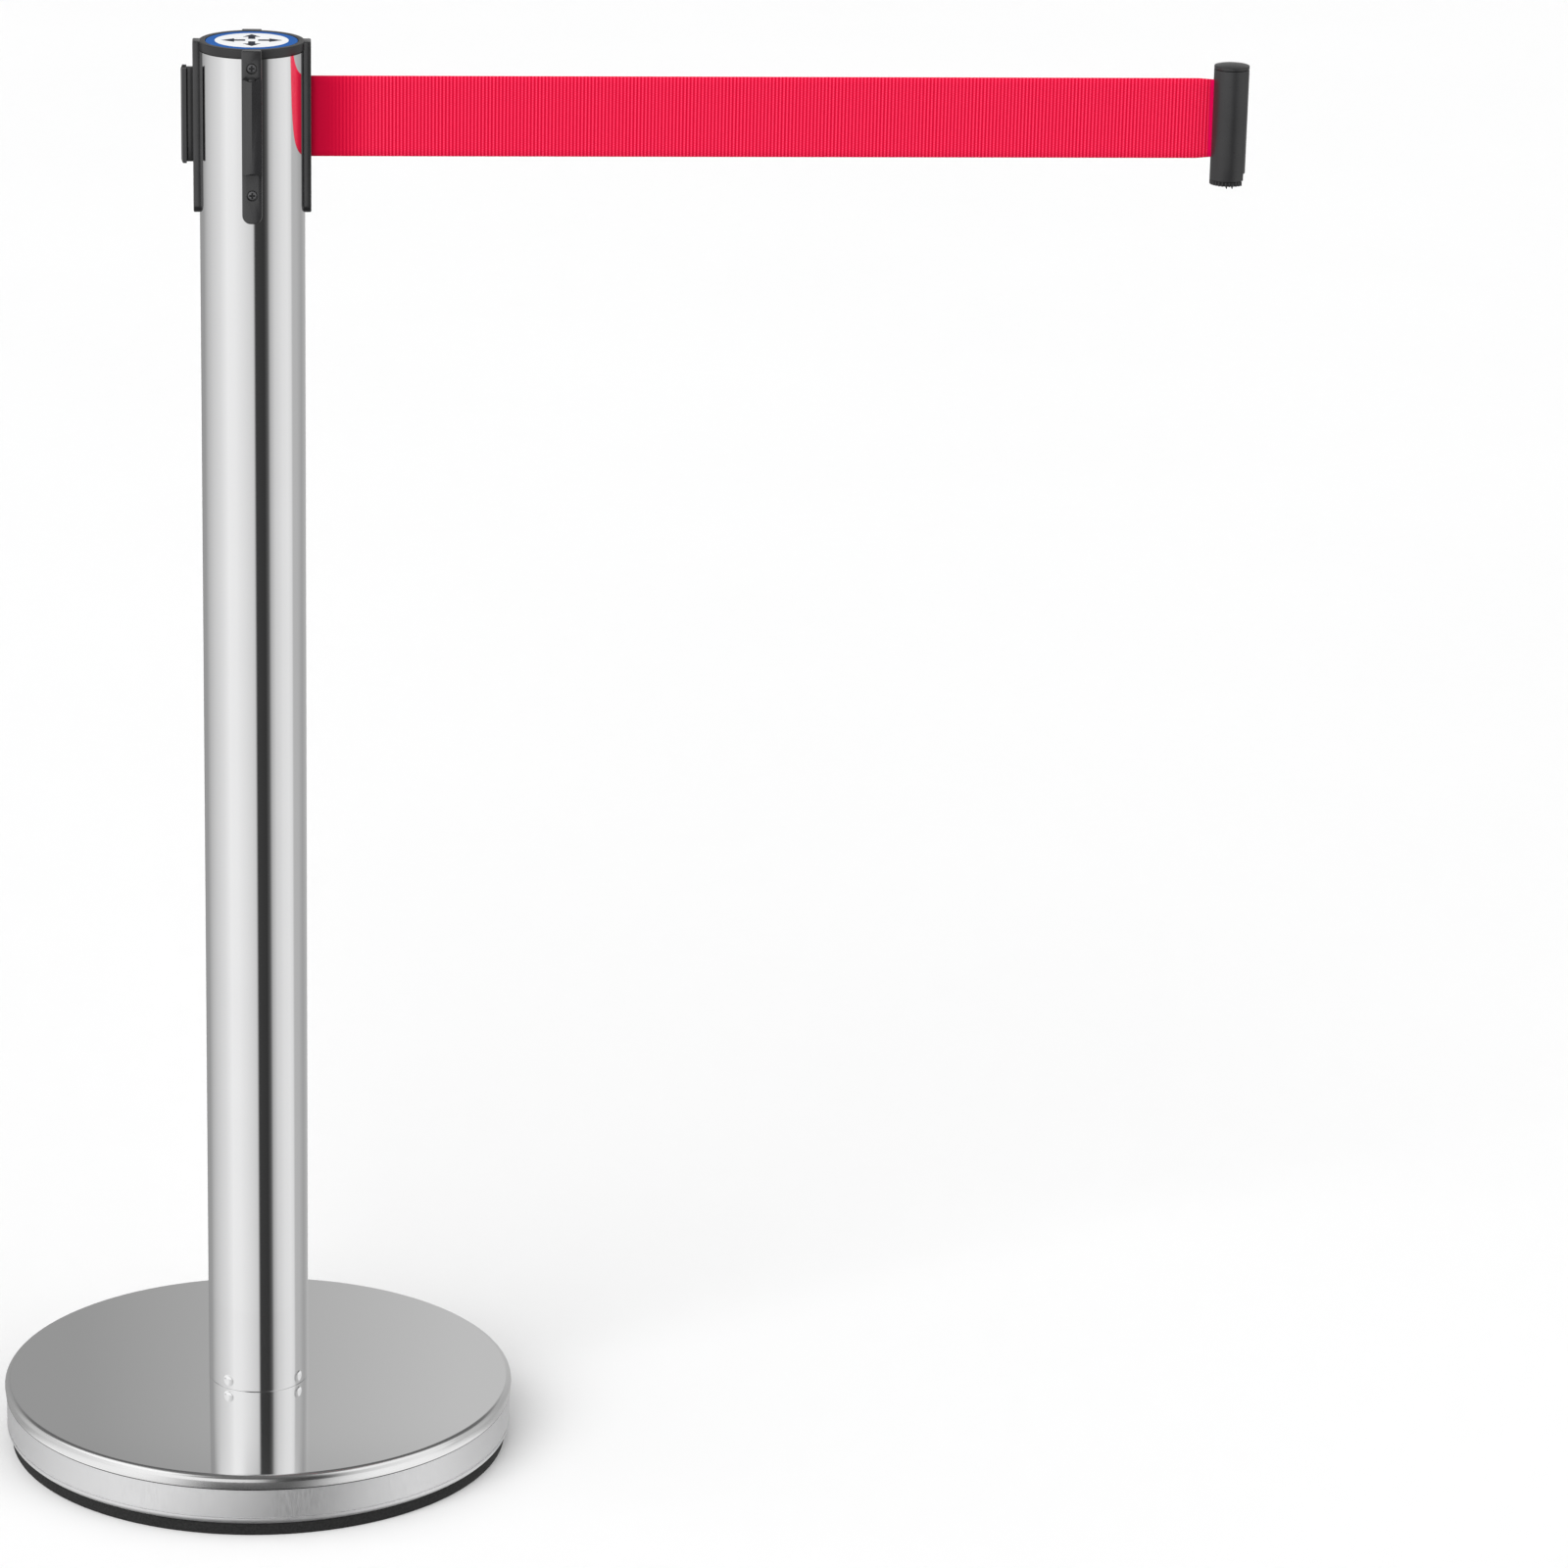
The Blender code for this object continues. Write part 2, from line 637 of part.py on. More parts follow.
def make_axle():
    """The fixed axle, the ring that keeps it in the cassette's floor, and the arbor that holds the spring."""
    top = CASSETTE_TOP - 0.0003
    bottom = CASSETTE_BOTTOM - 0.0035
    groove_top = CASSETTE_BOTTOM - 0.0002
    groove_bottom = groove_top - 0.0012
    groove_radius = AXLE_RADIUS - 0.0008
    profile = [
        (0.0, top),
        (AXLE_RADIUS, top),
        (AXLE_RADIUS, groove_top),
        (groove_radius, groove_top),
        (groove_radius, groove_bottom),
        (AXLE_RADIUS, groove_bottom),
        (AXLE_RADIUS, bottom),
        (0.0, bottom),
    ]
    turned("spool_axle", profile, ZINC, COARSE)

    ring_outer = 0.0062
    ring = tube_profile(ring_outer, groove_radius + GAP, groove_bottom + GAP, groove_top - 0.0002)
    ring = turned("ring_of_axle_clip", ring, SPRING_STEEL, COARSE, CUTTERS)
    half_mouth = 0.0022
    low = (0.0, -half_mouth, groove_bottom - 0.001)
    high = (ring_outer + 0.001, half_mouth, groove_top + 0.001)
    clip = settled(combine(ring, box("mouth_of_axle_clip", low, high)), SPRING_STEEL)
    clip.name = "axle_ring"

    arbor_bottom = SPRING_BOTTOM - 0.003
    arbor_top = SPRING_TOP + 0.0045
    arbor = tube_profile(ARBOR_RADIUS, AXLE_HOLE, arbor_bottom, arbor_top)
    arbor = turned("spring_arbor", arbor, WHITE_PLASTIC, COARSE)
    half_slot = SPRING_THICKNESS / 2 + GAP
    low = (ARBOR_RADIUS - 0.0014, -half_slot, arbor_bottom - 0.001)
    high = (ARBOR_RADIUS + 0.001, half_slot, arbor_top + 0.001)
    combine(arbor, box("arbor_slot", low, high))


def make_spool():
    """The spool's core with its lower flange, the upper flange, and the bush in its top."""
    bore = 0.005
    neck = 0.0085
    drum_top = FLANGE_TOP - FLANGE_THICKNESS + GAP
    bush_bottom = FLANGE_TOP - 0.0098
    bush_hole = BUSH_OUTER + GAP
    profile = [
        (bush_hole, FLANGE_TOP),
        (neck, FLANGE_TOP),
        (neck, drum_top - GAP),
        (DRUM_RADIUS, drum_top - GAP),
        (DRUM_RADIUS, FLANGE_UNDER_BELT),
        (FLANGE_RADIUS, FLANGE_UNDER_BELT),
        (FLANGE_RADIUS, FLANGE_UNDER_BELT - FLANGE_THICKNESS),
        (bore, FLANGE_UNDER_BELT - FLANGE_THICKNESS),
        (bore, bush_bottom),
        (bush_hole, bush_bottom),
    ]
    core = turned("spool_core", profile, WHITE_PLASTIC)
    slot_low = (DRUM_RADIUS - KEY_SLOT_DEPTH, -KEY_SLOT_HALF, FLANGE_UNDER_BELT)
    slot_high = (DRUM_RADIUS + 0.001, KEY_SLOT_HALF, FLANGE_TOP + 0.001)
    combine(core, box("key_slot", slot_low, slot_high))
    flange = tube_profile(FLANGE_RADIUS, neck + GAP, drum_top, FLANGE_TOP)
    turned("spool_flange", flange, WHITE_PLASTIC)
    bush = tube_profile(BUSH_OUTER, AXLE_RADIUS + RUNNING_FIT, bush_bottom + GAP, FLANGE_TOP)
    turned("upper_bush", bush, BRASS, COARSE)
    pin_radius = 0.0007
    key = disc_profile(pin_radius, FLANGE_UNDER_BELT + GAP, drum_top - 2 * GAP)
    pin = turned("belt_key_pin", key, ZINC, 12)
    pin.location = (DRUM_RADIUS - KEY_SLOT_DEPTH / 2, KEY_SLOT_HALF - pin_radius - GAP, 0.0)


def make_spring_cup():
    """The cup under the spool that the spring's outer end hooks into, with its bush."""
    top = FLANGE_UNDER_BELT - FLANGE_THICKNESS - GAP
    floor_top = CUP_BOTTOM + 0.0015
    profile = [
        (CUP_RADIUS - CUP_WALL, top),
        (CUP_RADIUS, top),
        (CUP_RADIUS, CUP_BOTTOM),
        (BUSH_OUTER + GAP, CUP_BOTTOM),
        (BUSH_OUTER + GAP, floor_top),
        (CUP_RADIUS - CUP_WALL, floor_top),
    ]
    cup = turned("spring_cup", profile, BLACK_PLASTIC)
    half_slot = SPRING_THICKNESS / 2 + GAP
    low = (-CUP_RADIUS - 0.004, -half_slot, SPRING_BOTTOM - 0.001)
    high = (0.004 - CUP_RADIUS, half_slot, SPRING_TOP + 0.001)
    combine(cup, box("cup_slot", low, high))

    collar_radius = 0.008
    bore = AXLE_RADIUS + RUNNING_FIT
    bush_top = floor_top + 0.001
    bush_bottom = CASSETTE_BOTTOM + CASSETTE_FLOOR + GAP
    bush = [
        (bore, bush_top),
        (BUSH_OUTER, bush_top),
        (BUSH_OUTER, CUP_BOTTOM - GAP),
        (collar_radius, CUP_BOTTOM - GAP),
        (collar_radius, bush_bottom),
        (bore, bush_bottom),
    ]
    turned("lower_bush", bush, BRASS, COARSE)


def ribbon(centre_line, thickness):
    """The outline of a strip of even thickness along a line of points."""
    left, right = [], []
    last = len(centre_line) - 1
    for i, (x, y) in enumerate(centre_line):
        before = centre_line[max(i - 1, 0)]
        after = centre_line[min(i + 1, last)]
        length = math.hypot(after[0] - before[0], after[1] - before[1])
        across_x = -(after[1] - before[1]) / length * thickness / 2
        across_y = (after[0] - before[0]) / length * thickness / 2
        left.append((x + across_x, y + across_y))
        right.append((x - across_x, y - across_y))
    return left + right[::-1]


def make_power_spring():
    """Flat spiral spring, hooked in the arbor's slot at one end and in the cup's wall at the other."""
    turns = 8.5
    per_turn = 20
    inner = ARBOR_RADIUS + 0.0008
    outer = CUP_RADIUS - CUP_WALL - 0.0007
    steps = int(turns * per_turn)
    line = [(ARBOR_RADIUS - 0.0009, 0.0), (ARBOR_RADIUS + 0.0001, 0.0)]
    for i in range(1, steps + 1):
        angle = 2 * math.pi * i / per_turn
        radius = inner + (outer - inner) * i / steps
        line.append((radius * math.cos(angle), radius * math.sin(angle)))
    line.append((GAP - CUP_RADIUS, 0.0))
    slab("power_spring", [ribbon(line, SPRING_THICKNESS)], SPRING_BOTTOM, SPRING_TOP, SPRING_STEEL)


# Belt


def make_belt_wound():
    """The turns on the spool, with the end that the key pin holds in the core's slot."""
    tail_inner = DRUM_RADIUS - KEY_SLOT_DEPTH + GAP
    tail_low = GAP - KEY_SLOT_HALF
    tail_high = tail_low + BELT_THICKNESS
    start = math.degrees(math.asin(tail_high / WOUND_BORE))
    stop = 360 + math.degrees(math.asin(tail_low / WOUND_BORE))
    hole = arc((0.0, 0.0), WOUND_BORE, start, stop, MEDIUM)
    hole += [(tail_inner, tail_low), (tail_inner, tail_high)]
    outside = circle((0.0, 0.0), WOUND_RADIUS, MEDIUM)
    slab("belt_wound", [outside, hole], BELT_BOTTOM, BELT_TOP, WEBBING)


def make_belt_span():
    """The belt from the wound turns, out through the slot, to its sewn loop round the clip's pin."""
    bend = CASSETTE_BORE - 0.0005
    roll = WOUND_RADIUS + BELT_THICKNESS / 2 + GAP
    tangent = math.acos(roll / bend)
    half = BELT_THICKNESS / 2
    loop_inner = BELT_PIN_RADIUS + GAP
    loop_outer = loop_inner + BELT_THICKNESS
    pin = CLIP_REACH - BELT_PIN_OFFSET
    opening = math.degrees(math.asin(half / loop_outer))
    slope = (bend - roll * math.cos(tangent), roll * math.sin(tangent))
    length = math.hypot(*slope)
    across = (-slope[1] / length * half, slope[0] / length * half)
    start = (roll * math.cos(tangent), -roll * math.sin(tangent))
    outline = [(start[0] - across[0], start[1] - across[1]), (bend + half, -half)]
    outline += arc((pin, 0.0), loop_outer, 180 + opening, 540 - opening, COARSE)
    outline += [(bend - half, half), (start[0] + across[0], start[1] + across[1])]
    hole = circle((pin, 0.0), loop_inner, COARSE)
    return slab("belt_span", [outline, hole], BELT_BOTTOM, BELT_TOP, WEBBING)


# Clip


def make_clip_barrel():
    """C-shaped tube: the mouth faces away from the belt, and the belt enters by a slit opposite."""
    bore = CLIP_RADIUS - CLIP_WALL
    outer_turn = math.degrees(math.asin(CLIP_MOUTH_HALF / CLIP_RADIUS))
    inner_turn = math.degrees(math.asin(CLIP_MOUTH_HALF / bore))
    outline = arc((0.0, 0.0), CLIP_RADIUS, outer_turn, 360 - outer_turn, 44)
    outline += arc((0.0, 0.0), bore, 360 - inner_turn, inner_turn, 36)
    barrel = slab("clip_barrel", [outline], CLIP_BOTTOM, CLIP_TOP, BLACK_PLASTIC)
    slit_low = (-0.02, -BELT_SLIT_HALF, BELT_BOTTOM - BELT_SLIT_MARGIN)
    slit_high = (-0.005, BELT_SLIT_HALF, BELT_TOP + BELT_SLIT_MARGIN)
    combine(barrel, box("belt_slit", slit_low, slit_high))
    step_low = (LIP_STEP_START, -0.02, CLIP_BOTTOM - 0.001)
    combine(barrel, box("lip_step", step_low, (0.02, 0.02, CLIP_LIP_BOTTOM)))
    return barrel


def rail_slot_cutter(name, bottom, top):
    """The way that a rail takes through the clip, open on the side of the mouth."""
    return box(name, (RAIL_SLOT_START, -RAIL_SLOT_HALF, bottom), (0.02, RAIL_SLOT_HALF, top))


def make_clip_cap():
    """Domed cap whose plug closes the barrel, slotted where the rail's top comes up."""
    dome = 0.0012
    seat = CLIP_TOP + GAP
    plug_bottom = CLIP_TOP - CAP_PLUG_DEPTH
    ball = (CLIP_RADIUS**2 + dome**2) / (2 * dome)
    widest = math.degrees(math.asin(CLIP_RADIUS / ball))
    profile = arc((0.0, CLIP_CAP_TOP - ball), ball, 90, 90 - widest, 4)
    profile[0] = (0.0, CLIP_CAP_TOP)
    profile += [(CLIP_RADIUS, seat), (CLIP_PLUG_RADIUS, seat)]
    profile += [(CLIP_PLUG_RADIUS, plug_bottom), (0.0, plug_bottom)]
    cap = turned("clip_cap", profile, BLACK_PLASTIC, MEDIUM)
    combine(cap, rail_slot_cutter("cap_slot", seat - 0.01, seat))
    return cap


def make_clip_foot():
    """Toothed foot with a plug that goes up the barrel, a slot that the rail passes and two nubs below."""
    teeth = 30
    root = CLIP_RADIUS - 0.0004
    tooth_outline = ((0.1, root), (0.35, CLIP_RADIUS), (0.7, CLIP_RADIUS), (0.95, root))
    outline = []
    for i in range(teeth):
        for turn, radius in tooth_outline:
            angle = 2 * math.pi * (i + turn) / teeth
            outline.append((radius * math.cos(angle), radius * math.sin(angle)))
    foot = slab("clip_foot", [outline], CLIP_FOOT_BOTTOM, CLIP_BOTTOM - GAP, BLACK_PLASTIC)
    plug = disc_profile(CLIP_PLUG_RADIUS, CLIP_BOTTOM - 0.001, FOOT_PLUG_TOP)
    plug = turned("foot_plug_shape", plug, None, COARSE, CUTTERS)
    combine(foot, as_cutter(plug), "UNION")
    nub_half_width, nub_half_depth = 0.0006, 0.0012
    for middle in (-0.0017, 0.0017):
        low = (middle - nub_half_width, -nub_half_depth, CLIP_NUB_BOTTOM)
        high = (middle + nub_half_width, nub_half_depth, CLIP_FOOT_BOTTOM + 0.001)
        combine(foot, box("nub", low, high), "UNION")
    return combine(foot, rail_slot_cutter("foot_slot", CLIP_NUB_BOTTOM - 0.01, FOOT_PLUG_TOP + 0.01))


def make_clip():
    pin = disc_profile(BELT_PIN_RADIUS, FOOT_PLUG_TOP + GAP, CLIP_TOP - CAP_PLUG_DEPTH - GAP)
    belt_pin = turned("clip_belt_pin", pin, ZINC, COARSE)
    belt_pin.location.x = -BELT_PIN_OFFSET
    pieces = [make_clip_barrel(), make_clip_cap(), make_clip_foot(), belt_pin]
    for piece in pieces:
        for modifier in piece.modifiers:
            if modifier.type == "BOOLEAN":
                modifier.object.location.x += CLIP_REACH
        piece.location.x += CLIP_REACH
    return pieces


make_base_cover()
make_base_band()
make_base_weight()
make_floor_ring()
make_foot()
make_post_tube()
make_cap()
make_receivers()
make_belt_outlet()
make_screws()
make_cassette()
make_axle()
make_spool()
make_spring_cup()
make_power_spring()
make_belt_wound()

turning = (
    "spool_core",
    "spool_flange",
    "upper_bush",
    "belt_key_pin",
    "spring_cup",
    "lower_bush",
    "power_spring",
    "belt_wound",
)
carry(body_empty("spool_axis", (0.0, 0.0, BELT_HEIGHT)), [bpy.data.objects[name] for name in turning])
pulled = make_clip() + [make_belt_span()]
carry(body_empty("belt_pull", (CLIP_REACH, 0.0, BELT_HEIGHT)), pulled)
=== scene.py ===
"""The retractable belt stanchion as it looks: polished tube and base, moulded plates, ribbed belt and clip.

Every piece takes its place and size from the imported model. Lengths are in metres.
"""

import math

import bmesh
import bpy
from mathutils import Matrix, Vector
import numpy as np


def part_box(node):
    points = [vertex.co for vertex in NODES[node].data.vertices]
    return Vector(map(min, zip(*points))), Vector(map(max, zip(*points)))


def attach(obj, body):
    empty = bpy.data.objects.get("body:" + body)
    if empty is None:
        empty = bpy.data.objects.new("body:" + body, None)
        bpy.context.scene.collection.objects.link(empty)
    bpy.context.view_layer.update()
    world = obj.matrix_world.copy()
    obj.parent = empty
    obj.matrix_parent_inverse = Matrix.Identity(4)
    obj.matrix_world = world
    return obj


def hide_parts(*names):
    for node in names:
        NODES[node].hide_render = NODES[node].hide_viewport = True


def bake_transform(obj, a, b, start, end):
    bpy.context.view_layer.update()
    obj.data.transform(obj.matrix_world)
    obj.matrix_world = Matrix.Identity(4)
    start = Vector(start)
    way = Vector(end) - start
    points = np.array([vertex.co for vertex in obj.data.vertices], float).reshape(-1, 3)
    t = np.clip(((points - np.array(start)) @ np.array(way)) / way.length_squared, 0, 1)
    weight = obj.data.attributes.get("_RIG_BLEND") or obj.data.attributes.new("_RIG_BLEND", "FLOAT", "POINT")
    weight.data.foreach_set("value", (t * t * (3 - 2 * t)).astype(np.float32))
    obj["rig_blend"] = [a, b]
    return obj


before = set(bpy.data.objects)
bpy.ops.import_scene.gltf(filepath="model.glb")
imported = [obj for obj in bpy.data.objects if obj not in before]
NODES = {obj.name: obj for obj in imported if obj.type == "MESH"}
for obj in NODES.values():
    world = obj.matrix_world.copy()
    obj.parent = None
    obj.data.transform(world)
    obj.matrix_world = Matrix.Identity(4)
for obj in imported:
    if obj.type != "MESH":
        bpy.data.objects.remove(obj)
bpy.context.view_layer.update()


def low(name):
    """The lowest corner of the CAD node's box."""
    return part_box(name)[0]


def high(name):
    """The highest corner of the CAD node's box."""
    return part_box(name)[1]


def low_radius(name):
    """The smallest distance of the CAD node's points from the post's axis."""
    return min(math.hypot(v.co.x, v.co.y) for v in NODES[name].data.vertices)


# Sizes read from the frame
TUBE_RADIUS = high("post_tube").x
TUBE_BOTTOM = low("post_tube").z
TUBE_TOP = high("post_tube").z
CAP_TOP = high("top_cap").z
RIM_RADIUS = high("top_cap").x
LABEL_RADIUS = high("cap_label").x
LABEL_TOP = high("cap_label").z
RIB_HALF = high("belt_outlet").y
RIB_BOTTOM = low("belt_outlet").z
RIB_FACE = high("belt_outlet").x
RAIL_FACE = high("receiver_rear").y
BASE_RADIUS = high("base_cover").x
BASE_TOP = high("base_cover").z
BASE_SEAM = low("base_cover").z
BAND_RADIUS = high("base_band").x
BAND_BOTTOM = low("base_band").z
BAND_TOP = high("base_band").z
BELT_BOTTOM = low("belt_span").z
BELT_TOP = high("belt_span").z
CLIP_RADIUS = high("clip_barrel").y
CLIP_START = low("clip_barrel").x
CLIP_CENTRE = CLIP_START + CLIP_RADIUS
CLIP_BOTTOM = low("clip_barrel").z
CLIP_TOP = high("clip_barrel").z
WOUND_RADIUS = high("belt_wound").y
SCREW_FACE = high("screw_rear_upper").y
SCREW_RADIUS = high("screw_rear_upper").x

# Sizes that no box gives
GAP = 0.0003
TUBE_WALL = 0.0012
BELT_THICKNESS = 0.0007
WOUND_BORE = 0.0118
SEAT_RADIUS = SCREW_RADIUS + 0.0006
SEAT_FLOOR = RIB_FACE - 0.0020

FULL_TURN = 2 * math.pi
# The way that each plate faces, in degrees from +X
FACINGS = {"outlet": 0, "rear": 90, "left": 180, "front": 270}


# Materials

METAL = 1.0
EVEN = (1.0, 1.0, 1.0)


def node(tree, kind, inputs=None, **settings):
    """Adds a shader node. An input is either a value or another node's output."""
    made = tree.nodes.new(kind)
    for name, value in settings.items():
        setattr(made, name, value)
    for name, value in (inputs or {}).items():
        if isinstance(value, bpy.types.NodeSocket):
            tree.links.new(value, made.inputs[name])
        else:
            made.inputs[name].default_value = value
    return made


def arithmetic(tree, operation, first, second=0.0):
    """The output of a Math node. Each of its two inputs is a number or an output."""
    made = node(tree, "ShaderNodeMath", {0: first, 1: second}, operation=operation)
    return made.outputs[0]


def mix_colours(tree, factor, first, second):
    """first where the factor is 0, second where it is 1. A colour is three numbers or an output."""
    made = node(tree, "ShaderNodeMix", data_type="RGBA")
    for socket, value in ((made.inputs[0], factor), (made.inputs[6], first), (made.inputs[7], second)):
        if isinstance(value, bpy.types.NodeSocket):
            tree.links.new(value, socket)
        else:
            socket.default_value = value if isinstance(value, float) else (*value, 1.0)
    return made.outputs[2]


def blank_material(name, roughness, metallic, specular=0.5):
    """A new material, its node tree, its shader, and the place on the object that its pattern follows."""
    material = bpy.data.materials.new(name)
    material.use_nodes = True
    tree = material.node_tree
    shader = tree.nodes["Principled BSDF"]
    shader.inputs["Roughness"].default_value = roughness
    shader.inputs["Metallic"].default_value = metallic
    shader.inputs["Specular IOR Level"].default_value = specular
    place = node(tree, "ShaderNodeTexCoord").outputs["Object"]
    return material, tree, shader, place


def noise(tree, place, scale, detail=3.0, stretch=EVEN):
    """Noise with that many grains to the metre. A stretch below 1 draws the grains out along that axis."""
    if stretch != EVEN:
        place = node(tree, "ShaderNodeMapping", {"Vector": place, "Scale": stretch}).outputs[0]
    inputs = {"Vector": place, "Scale": scale, "Detail": detail}
    return node(tree, "ShaderNodeTexNoise", inputs).outputs["Fac"]


def vary(tree, factor, start, end):
    """Spreads noise, which mostly stays between 0.3 and 0.7, over start to end."""
    inputs = {"Value": factor, "From Min": 0.3, "From Max": 0.7, "To Min": start, "To Max": end}
    return node(tree, "ShaderNodeMapRange", inputs).outputs[0]


def vary_between(tree, value, start, end, low_end=0.0, high_end=1.0):
    """low_end up to start, high_end from end on, and a smooth step between them."""
    inputs = {"Value": value, "From Min": start, "From Max": end, "To Min": low_end, "To Max": high_end}
    return node(tree, "ShaderNodeMapRange", inputs, interpolation_type="SMOOTHSTEP").outputs[0]


def bump(tree, shader, height, distance):
    """Raises the shader's surface by the distance where the height is 1."""
    made = node(tree, "ShaderNodeBump", {"Height": height, "Distance": distance, "Strength": 1.0})
    tree.links.new(made.outputs[0], shader.inputs["Normal"])


def new_material(
    name,
    colour,
    roughness,
    metallic=0.0,
    specular=0.5,
    mottle=0.06,
    patches=30.0,
    grains=1500.0,
    depth=0.00001,
    stretch=EVEN,
):
    """A material with a mottled tone, and a fine grain that changes its gloss and is raised to the depth.

    patches and grains say how many of them there are to the metre.
    """
    material, tree, shader, place = blank_material(name, roughness, metallic, specular)
    broad = noise(tree, place, patches)
    fine = noise(tree, place, grains, 2.0, stretch)
    darker = [channel * (1 - mottle) for channel in colour]
    lighter = [min(1.0, channel * (1 + mottle)) for channel in colour]
    tone = mix_colours(tree, vary(tree, broad, 0.0, 1.0), darker, lighter)
    tree.links.new(tone, shader.inputs["Base Color"])
    gloss = vary(tree, fine, roughness * 0.85, roughness * 1.15)
    tree.links.new(gloss, shader.inputs["Roughness"])
    bump(tree, shader, fine, depth)
    return material


def webbing_material():
    """Red polyester with cross ribs, each a row of small stitches, and painted shade in the grooves. Flat
    near the post, where painted shade darkens it, and at the end.
    """
    material, tree, shader, place = blank_material("ribbed_webbing", 0.72, 0.0, specular=0.15)
    rib_pitch = 0.00212
    stitch_pitch = 0.00105
    flat_shaded_end = RIB_FACE + 0.006
    ribbed_start = RIB_FACE + 0.040
    stitch_strength = 0.55
    thread_wear = 0.14
    # painted shade: the grooves are darker than the crests, and near the post they are darker still
    groove = (0.62, 0.0, 0.030)
    post_shaded_groove = (0.50, 0.0, 0.030)
    crest = (0.93, 0.012, 0.066)
    stitched_crest = (0.98, 0.10, 0.21)
    worn = (0.35, 0.0, 0.01)
    smooth_strip = (0.80, 0.0, 0.085)
    split = node(tree, "ShaderNodeSeparateXYZ", {0: place})
    along = split.outputs["X"]
    across = split.outputs["Z"]
    count = arithmetic(tree, "MULTIPLY", along, 1 / rib_pitch)
    wave = arithmetic(tree, "COSINE", arithmetic(tree, "MULTIPLY", count, FULL_TURN))
    rib = vary_between(tree, wave, -0.75, 0.75)
    odd = arithmetic(tree, "MULTIPLY", arithmetic(tree, "ROUND", count), math.pi)
    turn = arithmetic(tree, "MULTIPLY", across, FULL_TURN / stitch_pitch)
    stitch_wave = arithmetic(tree, "COSINE", arithmetic(tree, "ADD", turn, odd))
    stitch = vary_between(tree, stitch_wave, -1.0, 1.0)
    # painted shade near the post: towards the plate the ribs flatten and the whole belt takes the darker
    # groove colour
    relief_out_of_post_shade = vary_between(tree, along, flat_shaded_end, ribbed_start)
    end_strip = node(tree, "ShaderNodeAttribute", attribute_name="end_strip").outputs["Fac"]
    plain = arithmetic(tree, "SUBTRACT", 1.0, end_strip)
    relief_out_of_post_shade = arithmetic(tree, "MULTIPLY", relief_out_of_post_shade, plain)
    rib = arithmetic(tree, "MULTIPLY", rib, relief_out_of_post_shade)
    stitched = arithmetic(tree, "MULTIPLY", arithmetic(tree, "MULTIPLY", stitch, rib), stitch_strength)

    shaded_groove_colour = mix_colours(tree, relief_out_of_post_shade, post_shaded_groove, groove)
    crest_colour = mix_colours(tree, stitched, crest, stitched_crest)
    tone = mix_colours(tree, rib, shaded_groove_colour, crest_colour)
    thread = noise(tree, place, 900.0, 2.0, (1.0, 1.0, 3.0))
    tone = mix_colours(tree, vary(tree, thread, 0.0, thread_wear), tone, worn)
    tone = mix_colours(tree, end_strip, tone, smooth_strip)
    tree.links.new(tone, shader.inputs["Base Color"])
    shader.inputs["Sheen Weight"].default_value = 0.05
    shader.inputs["Sheen Roughness"].default_value = 0.4
    raised = arithmetic(tree, "ADD", rib, arithmetic(tree, "MULTIPLY", stitched, 0.5))
    raised = arithmetic(tree, "ADD", raised, arithmetic(tree, "MULTIPLY", thread, 0.15))
    bump(tree, shader, raised, 0.00022)
    return material


def lid_material():
    """Steel that is mirror bright on top, softer round the shoulder, and painted dark along its lowest edge
    as shade in the seam.
    """
    mirror_roughness = 0.05
    shoulder_roughness = 0.20
    seam_shade_colour = (0.06, 0.06, 0.06)
    steel = (0.985, 0.985, 0.985)
    material, tree, shader, place = blank_material("polished_lid", mirror_roughness, METAL)
    height = node(tree, "ShaderNodeSeparateXYZ", {0: place}).outputs["Z"]
    # painted shade: a thin band at the foot of the hem is painted near black as the shadow in the seam
    above_seam_shade = vary_between(tree, height, BASE_SEAM + 0.0006, BASE_SEAM + 0.0010)
    tone = mix_colours(tree, above_seam_shade, seam_shade_colour, steel)
    tree.links.new(tone, shader.inputs["Base Color"])
    flat = node(tree, "ShaderNodeVectorMath", {0: place, 1: (1.0, 1.0, 0.0)}, operation="MULTIPLY")
    radius = node(tree, "ShaderNodeVectorMath", {0: flat.outputs[0]}, operation="LENGTH").outputs["Value"]
    inner = BASE_RADIUS - 0.0040
    outer = BASE_RADIUS - 0.0030
    roughness = vary_between(tree, radius, inner, outer, mirror_roughness, shoulder_roughness)
    scuffs = vary(tree, noise(tree, place, 900.0), 0.9, 1.1)
    tree.links.new(arithmetic(tree, "MULTIPLY", roughness, scuffs), shader.inputs["Roughness"])
    return material


BRIGHT_STEEL = new_material(
    "polished_tube",
    (0.93, 0.93, 0.935),
    0.065,
    METAL,
    mottle=0.01,
    patches=14.0,
    grains=260.0,
    depth=0.0000004,
    stretch=(1.0, 1.0, 0.05),
)
LID_STEEL = lid_material()
BAND_STEEL = new_material(
    "satin_band",
    (0.97, 0.97, 0.975),
    0.50,
    METAL,
    mottle=0.02,
    patches=20.0,
    grains=1400.0,
    depth=0.000002,
    stretch=(1.0, 1.0, 0.1),
)
MOULDED = {"mottle": 0.10, "patches": 60.0}
BLACK = new_material("satin_black_nylon", (0.022, 0.022, 0.023), 0.34, grains=1600.0, **MOULDED)
CLIP_BLACK = new_material("clip_black_nylon", (0.024, 0.024, 0.025), 0.32, depth=0.000012, **MOULDED)
PLATE_BLACK = new_material(
    "plate_black_nylon", (0.022, 0.022, 0.023), 0.20, specular=1.0, grains=1600.0, depth=0.000006, **MOULDED
)
